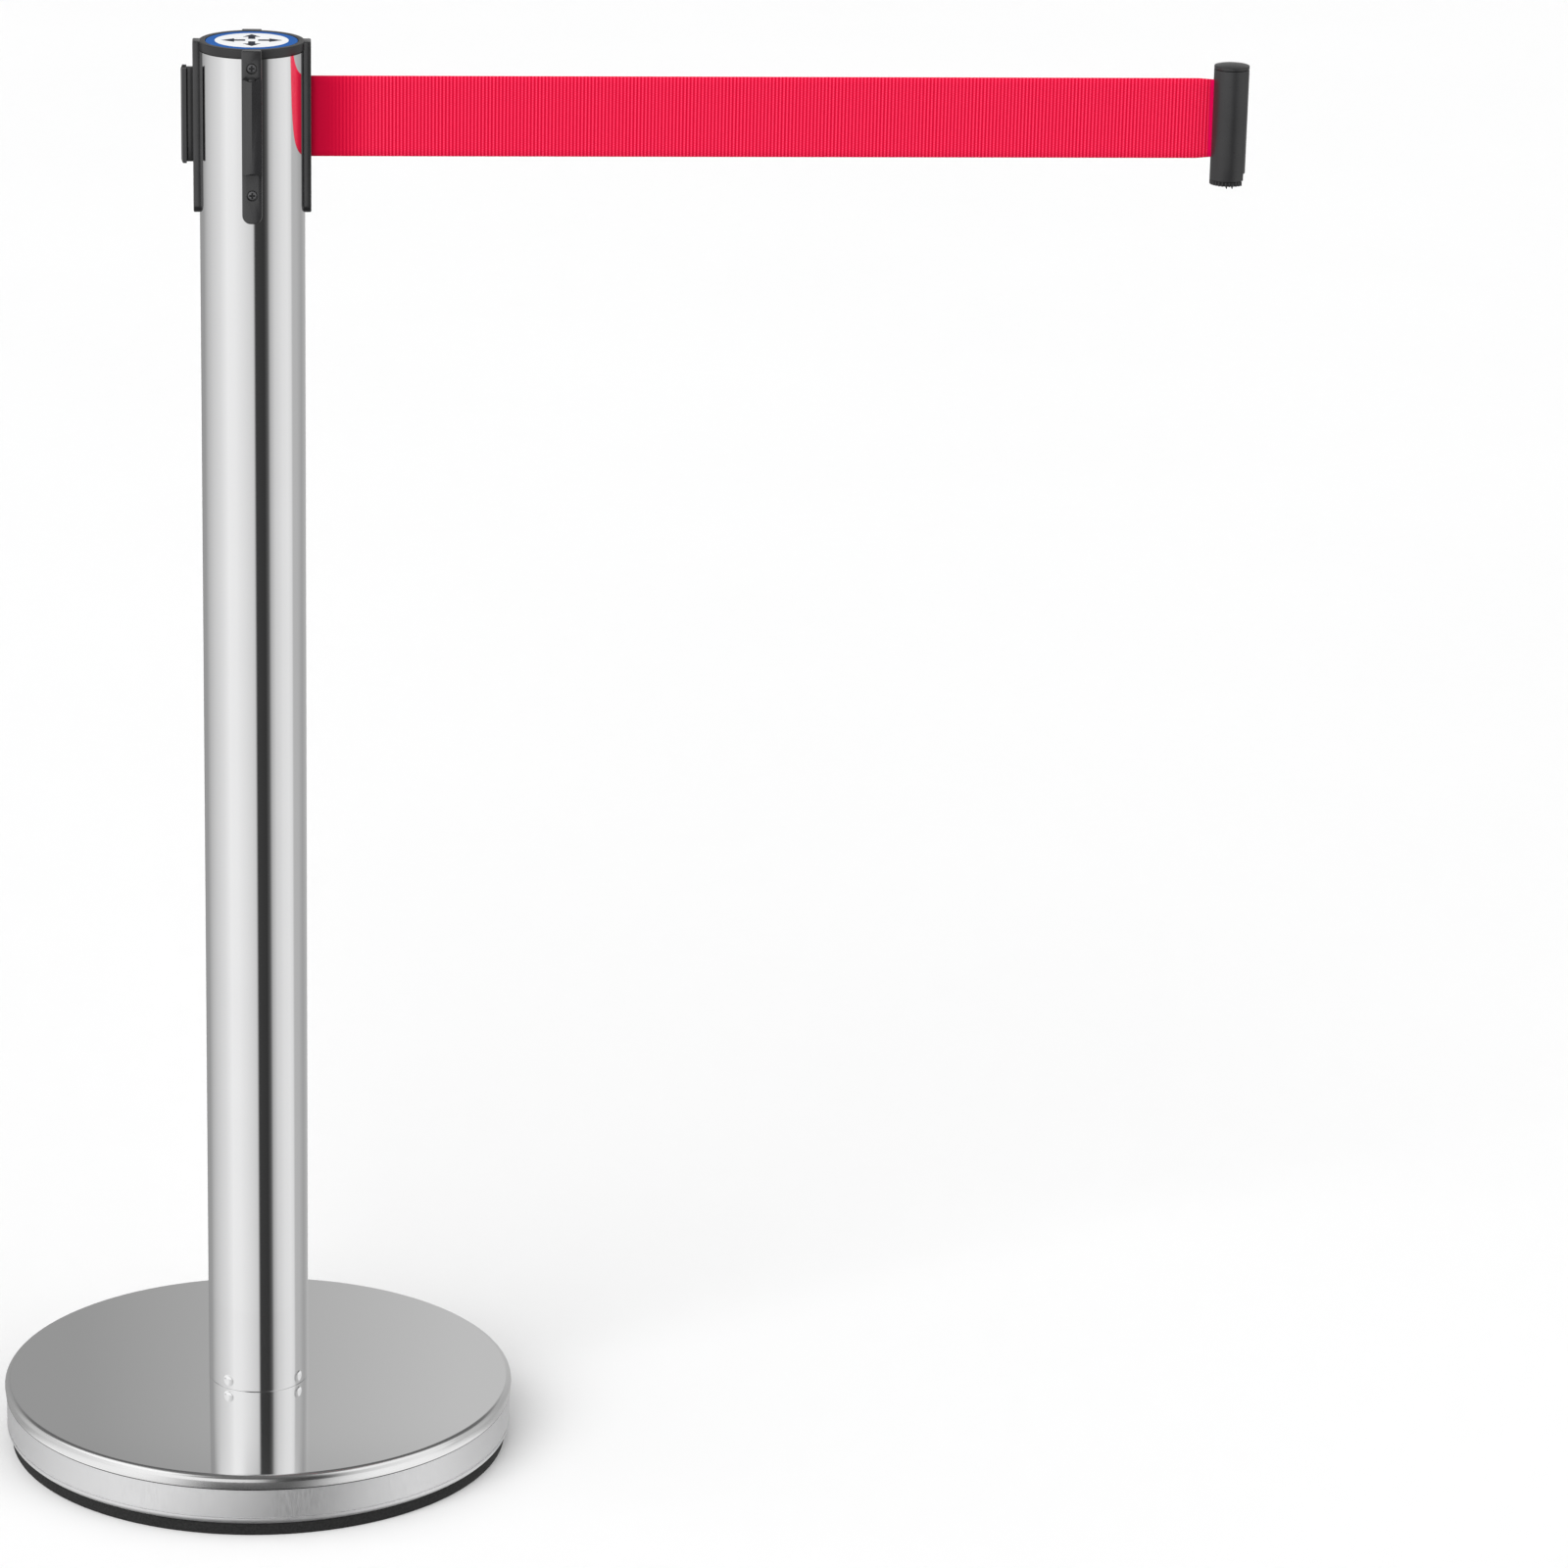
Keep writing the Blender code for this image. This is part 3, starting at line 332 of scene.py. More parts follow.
SCREW_BLACK = new_material(
    "black_oxide", (0.085, 0.085, 0.088), 0.30, mottle=0.15, patches=400.0, grains=2500.0, depth=0.000006
)
RUBBER = new_material(
    "pebbled_rubber", (0.014, 0.014, 0.014), 0.75, mottle=0.35, patches=700.0, grains=900.0, depth=0.00022
)
ZINC = new_material(
    "zinc_plate", (0.60, 0.60, 0.57), 0.36, METAL, mottle=0.10, patches=250.0, grains=1800.0, depth=0.000008
)
SPRING_BLUE = new_material(
    "blued_spring_steel", (0.24, 0.26, 0.33), 0.30, METAL, mottle=0.12, patches=120.0, depth=0.000004
)
ACETAL = new_material(
    "natural_acetal", (0.74, 0.74, 0.70), 0.42, mottle=0.03, patches=80.0, grains=1200.0, depth=0.000008
)
CONCRETE = new_material(
    "cast_concrete", (0.36, 0.35, 0.33), 0.92, mottle=0.22, patches=160.0, grains=420.0, depth=0.00035
)
BRASS = new_material(
    "turned_brass",
    (0.72, 0.52, 0.22),
    0.30,
    METAL,
    patches=150.0,
    grains=1600.0,
    depth=0.000006,
    stretch=(0.2, 0.2, 3.0),
)
PRINTED = {"specular": 0.08, "patches": 90.0, "grains": 2200.0, "depth": 0.000003}
LABEL_BLUE = new_material("label_blue", (0.008, 0.10, 0.38), 0.45, mottle=0.04, **PRINTED)
LABEL_WHITE = new_material("label_white", (0.82, 0.83, 0.84), 0.45, mottle=0.02, **PRINTED)
LABEL_INK = new_material("label_ink", (0.014, 0.018, 0.030), 0.45, mottle=0.04, **PRINTED)
WEBBING = webbing_material()


# Geometry helpers


def built_mesh(name, points, faces, merge=True):
    """A mesh with its normals outwards. Points that lie together are merged unless merge is off."""
    mesh = bpy.data.meshes.new(name)
    mesh.from_pydata(points, [], faces)
    cleaner = bmesh.new()
    cleaner.from_mesh(mesh)
    if merge:
        bmesh.ops.remove_doubles(cleaner, verts=cleaner.verts, dist=0.0000005)
        bmesh.ops.dissolve_degenerate(cleaner, edges=cleaner.edges, dist=0.0000001)
    bmesh.ops.recalc_face_normals(cleaner, faces=cleaner.faces)
    cleaner.to_mesh(mesh)
    cleaner.free()
    return mesh


def placed(name, data):
    """A new object in the scene that holds the mesh, camera or light."""
    thing = bpy.data.objects.new(name, data)
    bpy.context.scene.collection.objects.link(thing)
    return thing


def mesh_object(name, points, faces, material, smooth_below=32):
    """An object from points and faces, sharp where the surface turns by more than smooth_below degrees."""
    thing = placed(name, built_mesh(name, points, faces))
    dress(thing, material, smooth_below)
    return thing


def dress(thing, material, smooth_below=32):
    """Gives the object one material, and smooth shading."""
    thing.data.materials.clear()
    thing.data.materials.append(material)
    smooth(thing, smooth_below)


def smooth(thing, smooth_below):
    """Smooth shading, but for edges where the surface turns by more than the angle."""
    thing.data.shade_smooth()
    thing.data.set_sharp_from_angle(angle=math.radians(smooth_below))


def at_angle(profile, angle):
    """A profile of (radius, height) as points in the upright plane at the angle."""
    return [(r * math.cos(angle), r * math.sin(angle), z) for r, z in profile]


def skin(columns, closed=True):
    """Points and faces of a skin over columns of points that stand all the way round.

    In a closed column the last point joins the first.
    """
    points = [point for column in columns for point in column]
    count = len(columns[0])
    faces = []
    for step in range(len(columns)):
        here = step * count
        there = (step + 1) % len(columns) * count
        for i in range(count if closed else count - 1):
            following = (i + 1) % count
            faces.append((here + i, there + i, there + following, here + following))
    return points, faces


def turned(name, profile, material, steps=192, smooth_below=32):
    """A closed profile of (radius, height) turned about Z."""
    columns = [at_angle(profile, FULL_TURN * step / steps) for step in range(steps)]
    return mesh_object(name, *skin(columns), material, smooth_below)


def extruded(name, outline, start, end, material, along="Z"):
    """An outline given a depth. It is (x, y) for a depth along Z, (y, z) along X and (x, z) along Y."""
    points = []
    for depth in (start, end):
        for u, v in outline:
            points.append({"X": (depth, u, v), "Y": (u, depth, v), "Z": (u, v, depth)}[along])
    count = len(outline)
    faces = [tuple(range(count)), tuple(range(count, 2 * count))]
    faces += [(i, (i + 1) % count, count + (i + 1) % count, count + i) for i in range(count)]
    return mesh_object(name, points, faces, material)


def arc(centre, radius, start, end, count):
    """Points on an arc, angles in degrees, both ends included."""
    turns = [math.radians(start + (end - start) * i / count) for i in range(count + 1)]
    return [(centre[0] + radius * math.cos(a), centre[1] + radius * math.sin(a)) for a in turns]


def softened(outline, radius, closed=True, count=3):
    """The outline with each corner rounded off, by no more than the radius from the corner."""
    result = []
    for i, corner in enumerate(outline):
        if not closed and i in (0, len(outline) - 1):
            result.append(tuple(corner))
            continue
        corner = Vector(corner)
        before = Vector(outline[i - 1]) - corner
        after = Vector(outline[(i + 1) % len(outline)]) - corner
        cut = min(radius, 0.45 * before.length, 0.45 * after.length)
        start = corner + before.normalized() * cut
        end = corner + after.normalized() * cut
        for step in range(count + 1):
            t = step / count
            result.append(tuple((1 - t) ** 2 * start + 2 * t * (1 - t) * corner + t * t * end))
    return result


def block(corner, opposite):
    """A box to cut with."""
    x0, y0, z0 = corner
    x1, y1, z1 = opposite
    return extruded("cutter", [(x0, y0), (x1, y0), (x1, y1), (x0, y1)], z0, z1, BLACK)


def cylinder_along_x(radius, start, end, height, sides=48):
    """A cylinder to cut with, whose axis is at y = 0 and at the height."""
    outline = [(y, height + z) for y, z in arc((0.0, 0.0), radius, 0, 360, sides)[:-1]]
    return extruded("cutter", outline, start, end, BLACK, "X")


def applied(thing):
    """The object with its modifiers worked into its mesh."""
    graph = bpy.context.evaluated_depsgraph_get()
    mesh = bpy.data.meshes.new_from_object(thing.evaluated_get(graph))
    thing.modifiers.clear()
    thing.data = mesh
    return thing


def carved(thing, cutters, operation="DIFFERENCE"):
    """Cuts the cutters out of the object, and drops them. What they cut takes their material."""
    for cutter in cutters:
        modifier = thing.modifiers.new("carve", "BOOLEAN")
        modifier.operation = operation
        modifier.solver = "EXACT"
        modifier.material_mode = "TRANSFER"
        modifier.object = cutter
    applied(thing)
    for cutter in cutters:
        bpy.data.objects.remove(cutter, do_unlink=True)
    return thing


def edged(thing, width, segments=3, angle=38, smooth_below=42):
    """Rounds the object's hard edges, as a mould does."""
    modifier = thing.modifiers.new("edges", "BEVEL")
    modifier.width = width
    modifier.segments = segments
    modifier.limit_method = "ANGLE"
    modifier.angle_limit = math.radians(angle)
    applied(thing)
    dress(thing, thing.data.materials[0], smooth_below)
    return thing


def joined(name, things):
    """One object from several, which may sink into each other."""
    gathered = bmesh.new()
    for thing in things:
        thing.data.transform(thing.matrix_world)
        gathered.from_mesh(thing.data)
    mesh = bpy.data.meshes.new(name)
    gathered.to_mesh(mesh)
    gathered.free()
    mesh.materials.append(things[0].data.materials[0])
    for thing in things:
        bpy.data.objects.remove(thing, do_unlink=True)
    return placed(name, mesh)


def register(thing, body, slot, *nodes):
    """Rides the piece on its body, and hides the CAD nodes that it stands in for. Its slot is not used."""
    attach(thing, body)
    if nodes:
        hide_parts(*nodes)
    return thing


# Base


def make_base():
    """Lid with a rolled shoulder, band with a rolled foot, and the rubber ring."""
    sheet = 0.0006
    hole = low_radius("base_cover")
    bend = 0.0036
    undercut = 6
    centre = (BASE_RADIUS - bend, BASE_TOP - bend)
    side = centre[1] - BASE_SEAM - sheet
    hem = BASE_RADIUS - sheet - side * math.tan(math.radians(undercut))
    profile = [(hole, BASE_TOP)] + arc(centre, bend, 90, -undercut, 18)
    profile += arc((hem, BASE_SEAM + sheet), sheet, -undercut, -90, 5)
    profile += arc(centre, bend - sheet, -undercut, 90, 12)
    profile.append((hole, BASE_TOP - sheet))
    cover = turned("base_lid", profile, LID_STEEL, 256)
    register(cover, "stand", "polished_steel", "base_cover")

    sheet = 0.0008
    roll = 0.0038
    groove_top = BAND_BOTTOM + roll + 0.0022
    groove_floor = BAND_RADIUS - 0.0010
    flange = 0.148
    centre = (BAND_RADIUS - roll, BAND_BOTTOM + roll)
    top = BAND_TOP - 0.0006
    profile = [(BAND_RADIUS - sheet, top)]
    profile += arc((BAND_RADIUS - sheet, top - sheet), sheet, 90, 0, 5)[1:]
    profile.append((BAND_RADIUS, groove_top))
    profile += [(groove_floor, groove_top - 0.0002), (groove_floor, groove_top - 0.0013)]
    profile += arc(centre, roll, 10, -90, 12)
    profile += [(flange, BAND_BOTTOM), (flange, BAND_BOTTOM + sheet)]
    profile += arc(centre, roll - sheet, -90, 0, 8)
    band = turned("base_skirt_band", profile, BAND_STEEL, 256)
    register(band, "stand", "polished_steel", "base_band")

    outer = high("floor_ring").x
    inner = outer - 0.010
    top = high("floor_ring").z
    profile = softened([(inner, top), (outer, top), (outer, 0.0), (inner, 0.0)], 0.0009)
    ring = turned("rubber_floor_ring", profile, RUBBER, 256)
    register(ring, "stand", "rubber", "floor_ring")


# Post


def dimples():
    """(angle, height) of the four punched marks that hold the tube to its plug."""
    first = -127
    above_foot = 0.0052
    return [(math.radians(first + 90 * quarter), TUBE_BOTTOM + above_foot) for quarter in range(4)]


def dimple_depth(angle, height):
    """How far a ball-ended punch pushes the tube's wall in at that place."""
    ball = 0.0066
    depth = 0.0011
    deepest = 0.0
    for centre, middle in dimples():
        turn = (angle - centre + math.pi) % FULL_TURN - math.pi
        distance = math.hypot(turn * TUBE_RADIUS, height - middle)
        if distance < ball:
            deepest = max(deepest, math.sqrt(ball**2 - distance**2) - (ball - depth))
    return deepest


def make_tube():
    """The tube, with a rounded foot, four dimples and the slot for the belt."""
    bore = TUBE_RADIUS - TUBE_WALL
    edge = 0.0002
    foot = BASE_TOP + 0.00005
    # The points stand closer together around the dimples, so that these come out round
    angles = {FULL_TURN * i / 180 for i in range(180)}
    for centre, _ in dimples():
        angles |= {(centre + math.radians(0.6 * i)) % FULL_TURN for i in range(-12, 13)}
    heights = [TUBE_BOTTOM + 0.0003 * i for i in range(1, 36)]
    heights += [TUBE_BOTTOM + 0.05 + 0.1 * i for i in range(8)] + [TUBE_TOP]
    columns = []
    for angle in sorted(angles):
        profile = [(bore, foot), (TUBE_RADIUS - edge, foot), (TUBE_RADIUS, foot + edge)]
        profile += [(TUBE_RADIUS - dimple_depth(angle, z), z) for z in heights]
        profile.append((bore, TUBE_TOP))
        columns.append(at_angle(profile, angle))
    tube = mesh_object("polished_post_tube", *skin(columns), BRIGHT_STEEL, 50)
    half_slot = 0.0039
    margin = 0.0017
    slot = block((0.02, -half_slot, BELT_BOTTOM - margin), (0.04, half_slot, BELT_TOP + margin))
    carved(tube, [slot])
    register(tube, "stand", "polished_steel", "post_tube")


def make_cap():
    """Cap with a rounded rim, and a printed label in its recess."""
    recess = LABEL_RADIUS + GAP
    floor = LABEL_TOP - 0.0008
    rim_bottom = TUBE_TOP + GAP
    skirt = TUBE_RADIUS - TUBE_WALL - GAP
    skirt_bottom = low("top_cap").z
    skirt_inner = skirt - 0.0028
    roof = CAP_TOP - 0.0035
    rim = [(recess, floor), (recess, CAP_TOP), (RIM_RADIUS, CAP_TOP)]
    rim += [(RIM_RADIUS, rim_bottom), (skirt, rim_bottom)]
    profile = [(0.0, floor)] + softened(rim, 0.0009, closed=False, count=5)
    profile += [(skirt, skirt_bottom), (skirt_inner, skirt_bottom), (skirt_inner, roof), (0.0, roof)]
    cap = turned("moulded_top_cap", profile, BLACK, 192)
    register(cap, "stand", "black_plastic", "top_cap")

    disc_top = LABEL_TOP - 0.00012
    edge = 0.00025
    profile = [(0.0, disc_top), (LABEL_RADIUS - edge, disc_top), (LABEL_RADIUS, disc_top - edge)]
    profile += [(LABEL_RADIUS, floor + GAP), (0.0, floor + GAP)]
    disc = turned("label_disc", profile, LABEL_BLUE, 160)
    register(disc, "stand", "label", "cap_label")
    print_on_label(disc_top)


def print_on_label(disc_top):
    """A white face inside a blue border, and four arrows that point at the plates."""
    face_top = (disc_top + LABEL_TOP) / 2
    face_bottom = disc_top - 0.0001
    face_radius = LABEL_RADIUS * 0.80
    profile = [(0.0, face_top), (face_radius, face_top), (face_radius, face_bottom), (0.0, face_bottom)]
    face = turned("label_face", profile, LABEL_WHITE, 160)
    register(face, "stand", "label")
    tail = LABEL_RADIUS * 0.14
    neck = LABEL_RADIUS * 0.38
    tip = LABEL_RADIUS * 0.66
    shaft = LABEL_RADIUS * 0.075
    barb = LABEL_RADIUS * 0.19
    outline = [(tail, -shaft), (neck, -shaft), (neck, -barb), (tip, 0.0)]
    outline += [(neck, barb), (neck, shaft), (tail, shaft)]
    for facing, degrees in FACINGS.items():
        arrow = extruded(f"label_arrow_{facing}", outline, disc_top, LABEL_TOP, LABEL_INK)
        arrow.rotation_euler.z = math.radians(degrees)
        register(arrow, "stand", "label")


# Plates and screws


def plate_blank(name):
    """An upright plate that faces +X, round at its foot, with a round seat for each screw."""
    half = RIB_HALF
    foot = 0.0052
    edge = 0.0008
    back = math.sqrt(TUBE_RADIUS**2 - half**2) - 0.0001 - edge
    outline = [(-half, CAP_TOP), (-half, RIB_BOTTOM + foot)]
    outline += arc((foot - half, RIB_BOTTOM + foot), foot, 180, 270, 8)[1:]
    outline += arc((half - foot, RIB_BOTTOM + foot), foot, 270, 360, 8)
    outline += [(half, CAP_TOP)]
    plate = extruded(name, outline, back, RIB_FACE, PLATE_BLACK, "X")
    edged(plate, edge, 4, 50)
    seats = [cylinder_along_x(SEAT_RADIUS, SEAT_FLOOR, 0.04, z) for z in screw_heights()]
    carved(plate, seats)
    dress(plate, PLATE_BLACK, 12)
    return plate


def screw_heights():
    """The heights of a plate's upper and lower screw."""
    names = ["screw_front_upper", "screw_front_lower"]
    return [(low(name).z + high(name).z) / 2 for name in names]


def make_plates():
    """Three receivers with a T-rail each, and the plate that the belt leaves through."""
    rail_top = CAP_TOP - 0.016
    rail_bottom = RIB_BOTTOM + 0.0307
    half_neck = 0.0018
    half_rail = 0.0059
    thickness = 0.0033
    ridge = 0.0009
    bottom_curve = 0.0018
    top_curve = 0.0011
    scoop = 0.008
    scoop_depth = 0.0012
    spare = 0.001
    inner = RAIL_FACE - thickness
    edge = RAIL_FACE - ridge
    section = [(inner, -half_rail), (edge, -half_rail), (RAIL_FACE, 0.0)]
    section += [(edge, half_rail), (inner, half_rail)]
    side = [(inner - spare, rail_bottom)]
    side += arc((RAIL_FACE - bottom_curve, rail_bottom + bottom_curve), bottom_curve, -90, 0, 8)
    side += arc((RAIL_FACE - top_curve, rail_top - top_curve), top_curve, 0, 90, 6)
    side += [(inner - spare, rail_top)]
    back = RIB_FACE - spare
    front = inner + 0.0005
    web_section = [(back, -half_neck), (front, -half_neck), (front, half_neck), (back, half_neck)]
    for facing in ("rear", "left", "front"):
        plate = plate_blank("plate")
        flange = extruded("rail_flange", section, rail_bottom - spare, rail_top + spare, PLATE_BLACK)
        carved(flange, [extruded("cutter", side, -0.01, 0.01, PLATE_BLACK, "Y")], "INTERSECT")
        carved(flange, [cylinder_along_x(scoop, 0.0, 0.05, rail_top + scoop - scoop_depth, 96)])
        edged(flange, 0.0004, 3, 24, smooth_below=12)
        web = extruded("rail_web", web_section, rail_bottom + 0.0002, rail_top - 0.0002, PLATE_BLACK)
        receiver = joined(f"receiver_plate_{facing}", [plate, flange, edged(web, 0.0002, 2)])
        receiver.rotation_euler.z = math.radians(FACINGS[facing])
        register(receiver, "stand", "black_plastic", f"receiver_{facing}")

    outlet = plate_blank("belt_outlet_plate")
    half_mouth = 0.0016
    margin = 0.0006
    mouth = block((0.02, -half_mouth, BELT_BOTTOM - margin), (0.04, half_mouth, BELT_TOP + margin))
    carved(outlet, [mouth])
    dress(outlet, PLATE_BLACK, 12)
    register(outlet, "stand", "black_plastic", "belt_outlet")


def make_screws():
    """Eight raised-head screws with a cross recess, whose cut faces take the darker black nylon as painted
    shade.
    """
    head_height = 0.0014
    length = SCREW_FACE - low("screw_rear_upper").y
    shank = 0.00145
    head = [(0.0, length), (SCREW_RADIUS * 0.72, length - 0.0001), (SCREW_RADIUS, length - 0.0006)]
    head.append((SCREW_RADIUS, length - head_height))
    profile = [head[0]] + softened(head, 0.0004, closed=False, count=4)[1:]
    profile += [(shank, length - head_height), (shank, 0.0015), (0.0005, 0.0), (0.0, 0.0)]
    arm = 0.00175
    slit = 0.00058
    recess = length - 0.0013
    for facing, degrees in FACINGS.items():
        for level, height in zip(("upper", "lower"), screw_heights()):
            screw = turned(f"cross_screw_{facing}_{level}", profile, SCREW_BLACK, 64)
            cutters = []
            for across, along in ((arm, slit), (slit, arm)):
                cutters.append(block((-across, -along, recess), (across, along, length + 0.001)))
            # painted shade: the recess faces keep the cutters' darker black material
            carved(screw, cutters)
            smooth(screw, 40)
            turn = math.radians(degrees)
            tip = SCREW_FACE - length
            screw.location = (tip * math.cos(turn), tip * math.sin(turn), height)
            screw.rotation_euler = (0.0, math.radians(90), turn)
            register(screw, "stand", "black_screw", f"screw_{facing}_{level}")


# Clip


def make_clip():
    """Barrel with its mouth away from the belt, domed cap, and toothed foot."""
    wall = 0.0015
    bore = CLIP_RADIUS - wall
    plug = bore - GAP
    rail_start = 0.0032
    rail_half = 0.0062
    make_clip_barrel(bore)
    make_clip_cap(plug, rail_start, rail_half)
    make_clip_foot(plug, rail_start, rail_half)


def make_clip_barrel(bore):
    """A C-shaped tube with a slit for the belt, and a step at the foot of its mouth."""
    mouth = 0.0024
    outer_turn = math.degrees(math.asin(mouth / CLIP_RADIUS))
    inner_turn = math.degrees(math.asin(mouth / bore))
    outline = arc((0.0, 0.0), CLIP_RADIUS, outer_turn, 360 - outer_turn, 112)
    outline += arc((0.0, 0.0), bore, 360 - inner_turn, inner_turn, 96)
    barrel = extruded("clip_sleeve", outline, CLIP_BOTTOM, CLIP_TOP, CLIP_BLACK)
    slit = 0.0008
    margin = 0.0006
    step_start = CLIP_RADIUS - 0.0018
    step_top = CLIP_BOTTOM + 0.0041
    cutters = [
        block((-0.02, -slit, BELT_BOTTOM - margin), (-0.005, slit, BELT_TOP + margin)),
        block((step_start, -0.02, CLIP_BOTTOM - 0.001), (0.02, 0.02, step_top)),
    ]
    carved(barrel, cutters)
    edged(barrel, 0.00025, 2)
    move_to_clip(barrel)
    register(barrel, "belt_end", "black_plastic", "clip_barrel")


def make_clip_cap(plug, rail_start, rail_half):
    """A low dome on a plug, which is cut away where the rail comes up."""
    seat = CLIP_TOP + GAP
    plug_bottom = low("clip_cap").z
    dome_top = high("clip_cap").z
    rise = 0.0012
    ball = (CLIP_RADIUS**2 + rise**2) / (2 * rise)
    widest = math.degrees(math.asin(CLIP_RADIUS / ball))
    dome = arc((0.0, dome_top - ball), ball, 90, 90 - widest, 10)
    dome[0] = (0.0, dome_top)
    rim = softened([dome[-2], dome[-1], (CLIP_RADIUS, seat), (plug, seat)], 0.0004, closed=False, count=4)
    profile = dome[:-2] + rim + [(plug, plug_bottom), (0.0, plug_bottom)]
    cap = turned("clip_dome_cap", profile, CLIP_BLACK, 128)
    carved(cap, [block((rail_start, -rail_half, seat - 0.01), (0.02, rail_half, seat))])
    dress(cap, CLIP_BLACK, 40)
    move_to_clip(cap)
    register(cap, "belt_end", "black_plastic", "clip_cap")


def make_clip_foot(plug, rail_start, rail_half):
    """A toothed ring on a plug, both open for the rail, with two nubs under the front."""
    teeth = 30
    root = CLIP_RADIUS - 0.0010
    tooth = [(0.10, root), (0.35, CLIP_RADIUS), (0.65, CLIP_RADIUS), (0.90, root)]
    outline = []
    for i in range(teeth):
        for turn, radius in tooth:
            angle = FULL_TURN * (i + turn) / teeth
            outline.append((radius * math.cos(angle), radius * math.sin(angle)))
    nub_bottom = low("clip_foot").z
    ring_bottom = nub_bottom + 0.0014
    ring = extruded("clip_ring", outline, ring_bottom, CLIP_BOTTOM - GAP, CLIP_BLACK)
    edged(ring, 0.0002, 2, 30)
    plug_top = high("clip_foot").z
    plug_bottom = ring_bottom + 0.001
    profile = [(0.0, plug_top), (plug, plug_top), (plug, plug_bottom), (0.0, plug_bottom)]
    core = turned("clip_plug", profile, CLIP_BLACK, 96)
    for piece in (ring, core):
        rail_way = block((rail_start, -rail_half, nub_bottom - 0.01), (0.02, rail_half, plug_top + 0.01))
        carved(piece, [rail_way])
    nubs = []
    front = 0.0006 - root
    nub_top = ring_bottom + 0.0005
    for middle in (-0.0017, 0.0017):
        side = [(middle - 0.0006, nub_top), (middle + 0.0006, nub_top)]
        side += [(middle + 0.0005, nub_bottom), (middle + 0.0001, nub_bottom)]
        nubs.append(edged(extruded("clip_nub", side, front, front + 0.0018, CLIP_BLACK, "Y"), 0.0001, 2))
    foot = joined("clip_toothed_foot", [ring, core] + nubs)
    dress(foot, CLIP_BLACK, 30)
    move_to_clip(foot)
    register(foot, "belt_end", "black_plastic", "clip_foot")


def move_to_clip(thing):
    """The clip's pieces are made on the post's axis, then moved out to the belt's end."""
    thing.location.x = CLIP_CENTRE


# Belt


def webbing_section():
    """The webbing's section as (offset from its line, side from -1 to 1, length added past that side)."""
    half = BELT_THICKNESS / 2
    round_edge = [(half * 0.55, 0.00025), (0.0, 0.00035), (-half * 0.55, 0.00025)]
    sides = [-1 + 2 * i / 12 for i in range(13)]
    section = [(half, side, 0.0) for side in sides]
    section += [(offset, 1.0, added) for offset, added in round_edge]
    section += [(-half, -side, 0.0) for side in sides]
    section += [(-offset, -1.0, -added) for offset, added in round_edge]
    return section


def strip(name, line, width_at, end_mark=None):
    """Webbing along a line of (x, y), with round selvedges and a width that may change along it.

    end_mark gives each point of the line its number in the attribute that smooths the webbing's end.
    """
    section = webbing_section()
    inset = 0.00035
    middle = (BELT_TOP + BELT_BOTTOM) / 2
    points = []
    marks = []
    last = len(line) - 1
    for i, (x, y) in enumerate(line):
        before = Vector(line[max(i - 1, 0)])
        after = Vector(line[min(i + 1, last)])
        direction = (after - before).normalized()
        reach = width_at(x) / 2 - inset
        for offset, side, added in section:
            points.append((x - direction.y * offset, y + direction.x * offset, middle + side * reach + added))
            marks.append(end_mark(i) if end_mark else 0.0)
    count = len(section)
    faces = [tuple(range(count)), tuple(range(last * count, (last + 1) * count))]
    for i in range(last):
        here = i * count
        there = here + count
        for j in range(count):
            following = (j + 1) % count
            faces.append((here + j, there + j, there + following, here + following))
    mesh = built_mesh(name, points, faces, merge=False)
    mesh.attributes.new("end_strip", "FLOAT", "POINT").data.foreach_set("value", marks)
    thing = placed(name, mesh)
    dress(thing, WEBBING, 50)
    return thing


def line_length(line):
    """The length of a line of points."""
    return sum(math.dist(a, b) for a, b in zip(line, line[1:]))


def belt_line():
    """The pulled belt's line: off the wound turns, round the slot's edge, to the clip and round its pin."""
    bend = low_radius("post_tube") - 0.0040
    roll = WOUND_RADIUS + BELT_THICKNESS / 2 + GAP
    tangent = math.acos(roll / bend)
    start = (roll * math.cos(tangent), -roll * math.sin(tangent))
    pin = (low("clip_belt_pin").x + high("clip_belt_pin").x) / 2
    loop = high("clip_belt_pin").y + GAP + BELT_THICKNESS / 2
    line = softened([start, (bend, 0.0), (bend + 0.004, 0.0)], 0.0015, closed=False, count=6)
    step = 0.004
    end = CLIP_START - 0.012
    while line[-1][0] + step < end:
        line.append((line[-1][0] + step, 0.0))
    while line[-1][0] + step / 4 < pin - 2.2 * loop:
        line.append((line[-1][0] + step / 4, 0.0))
    turn_out = [(pin - 2.0 * loop, 0.0), (pin - 0.9 * loop, -0.75 * loop), (pin - 0.2 * loop, -loop)]
    line += softened(turn_out, 0.0012, closed=False)
    line += arc((pin, 0.0), loop, -90, 165, 24)
    return line


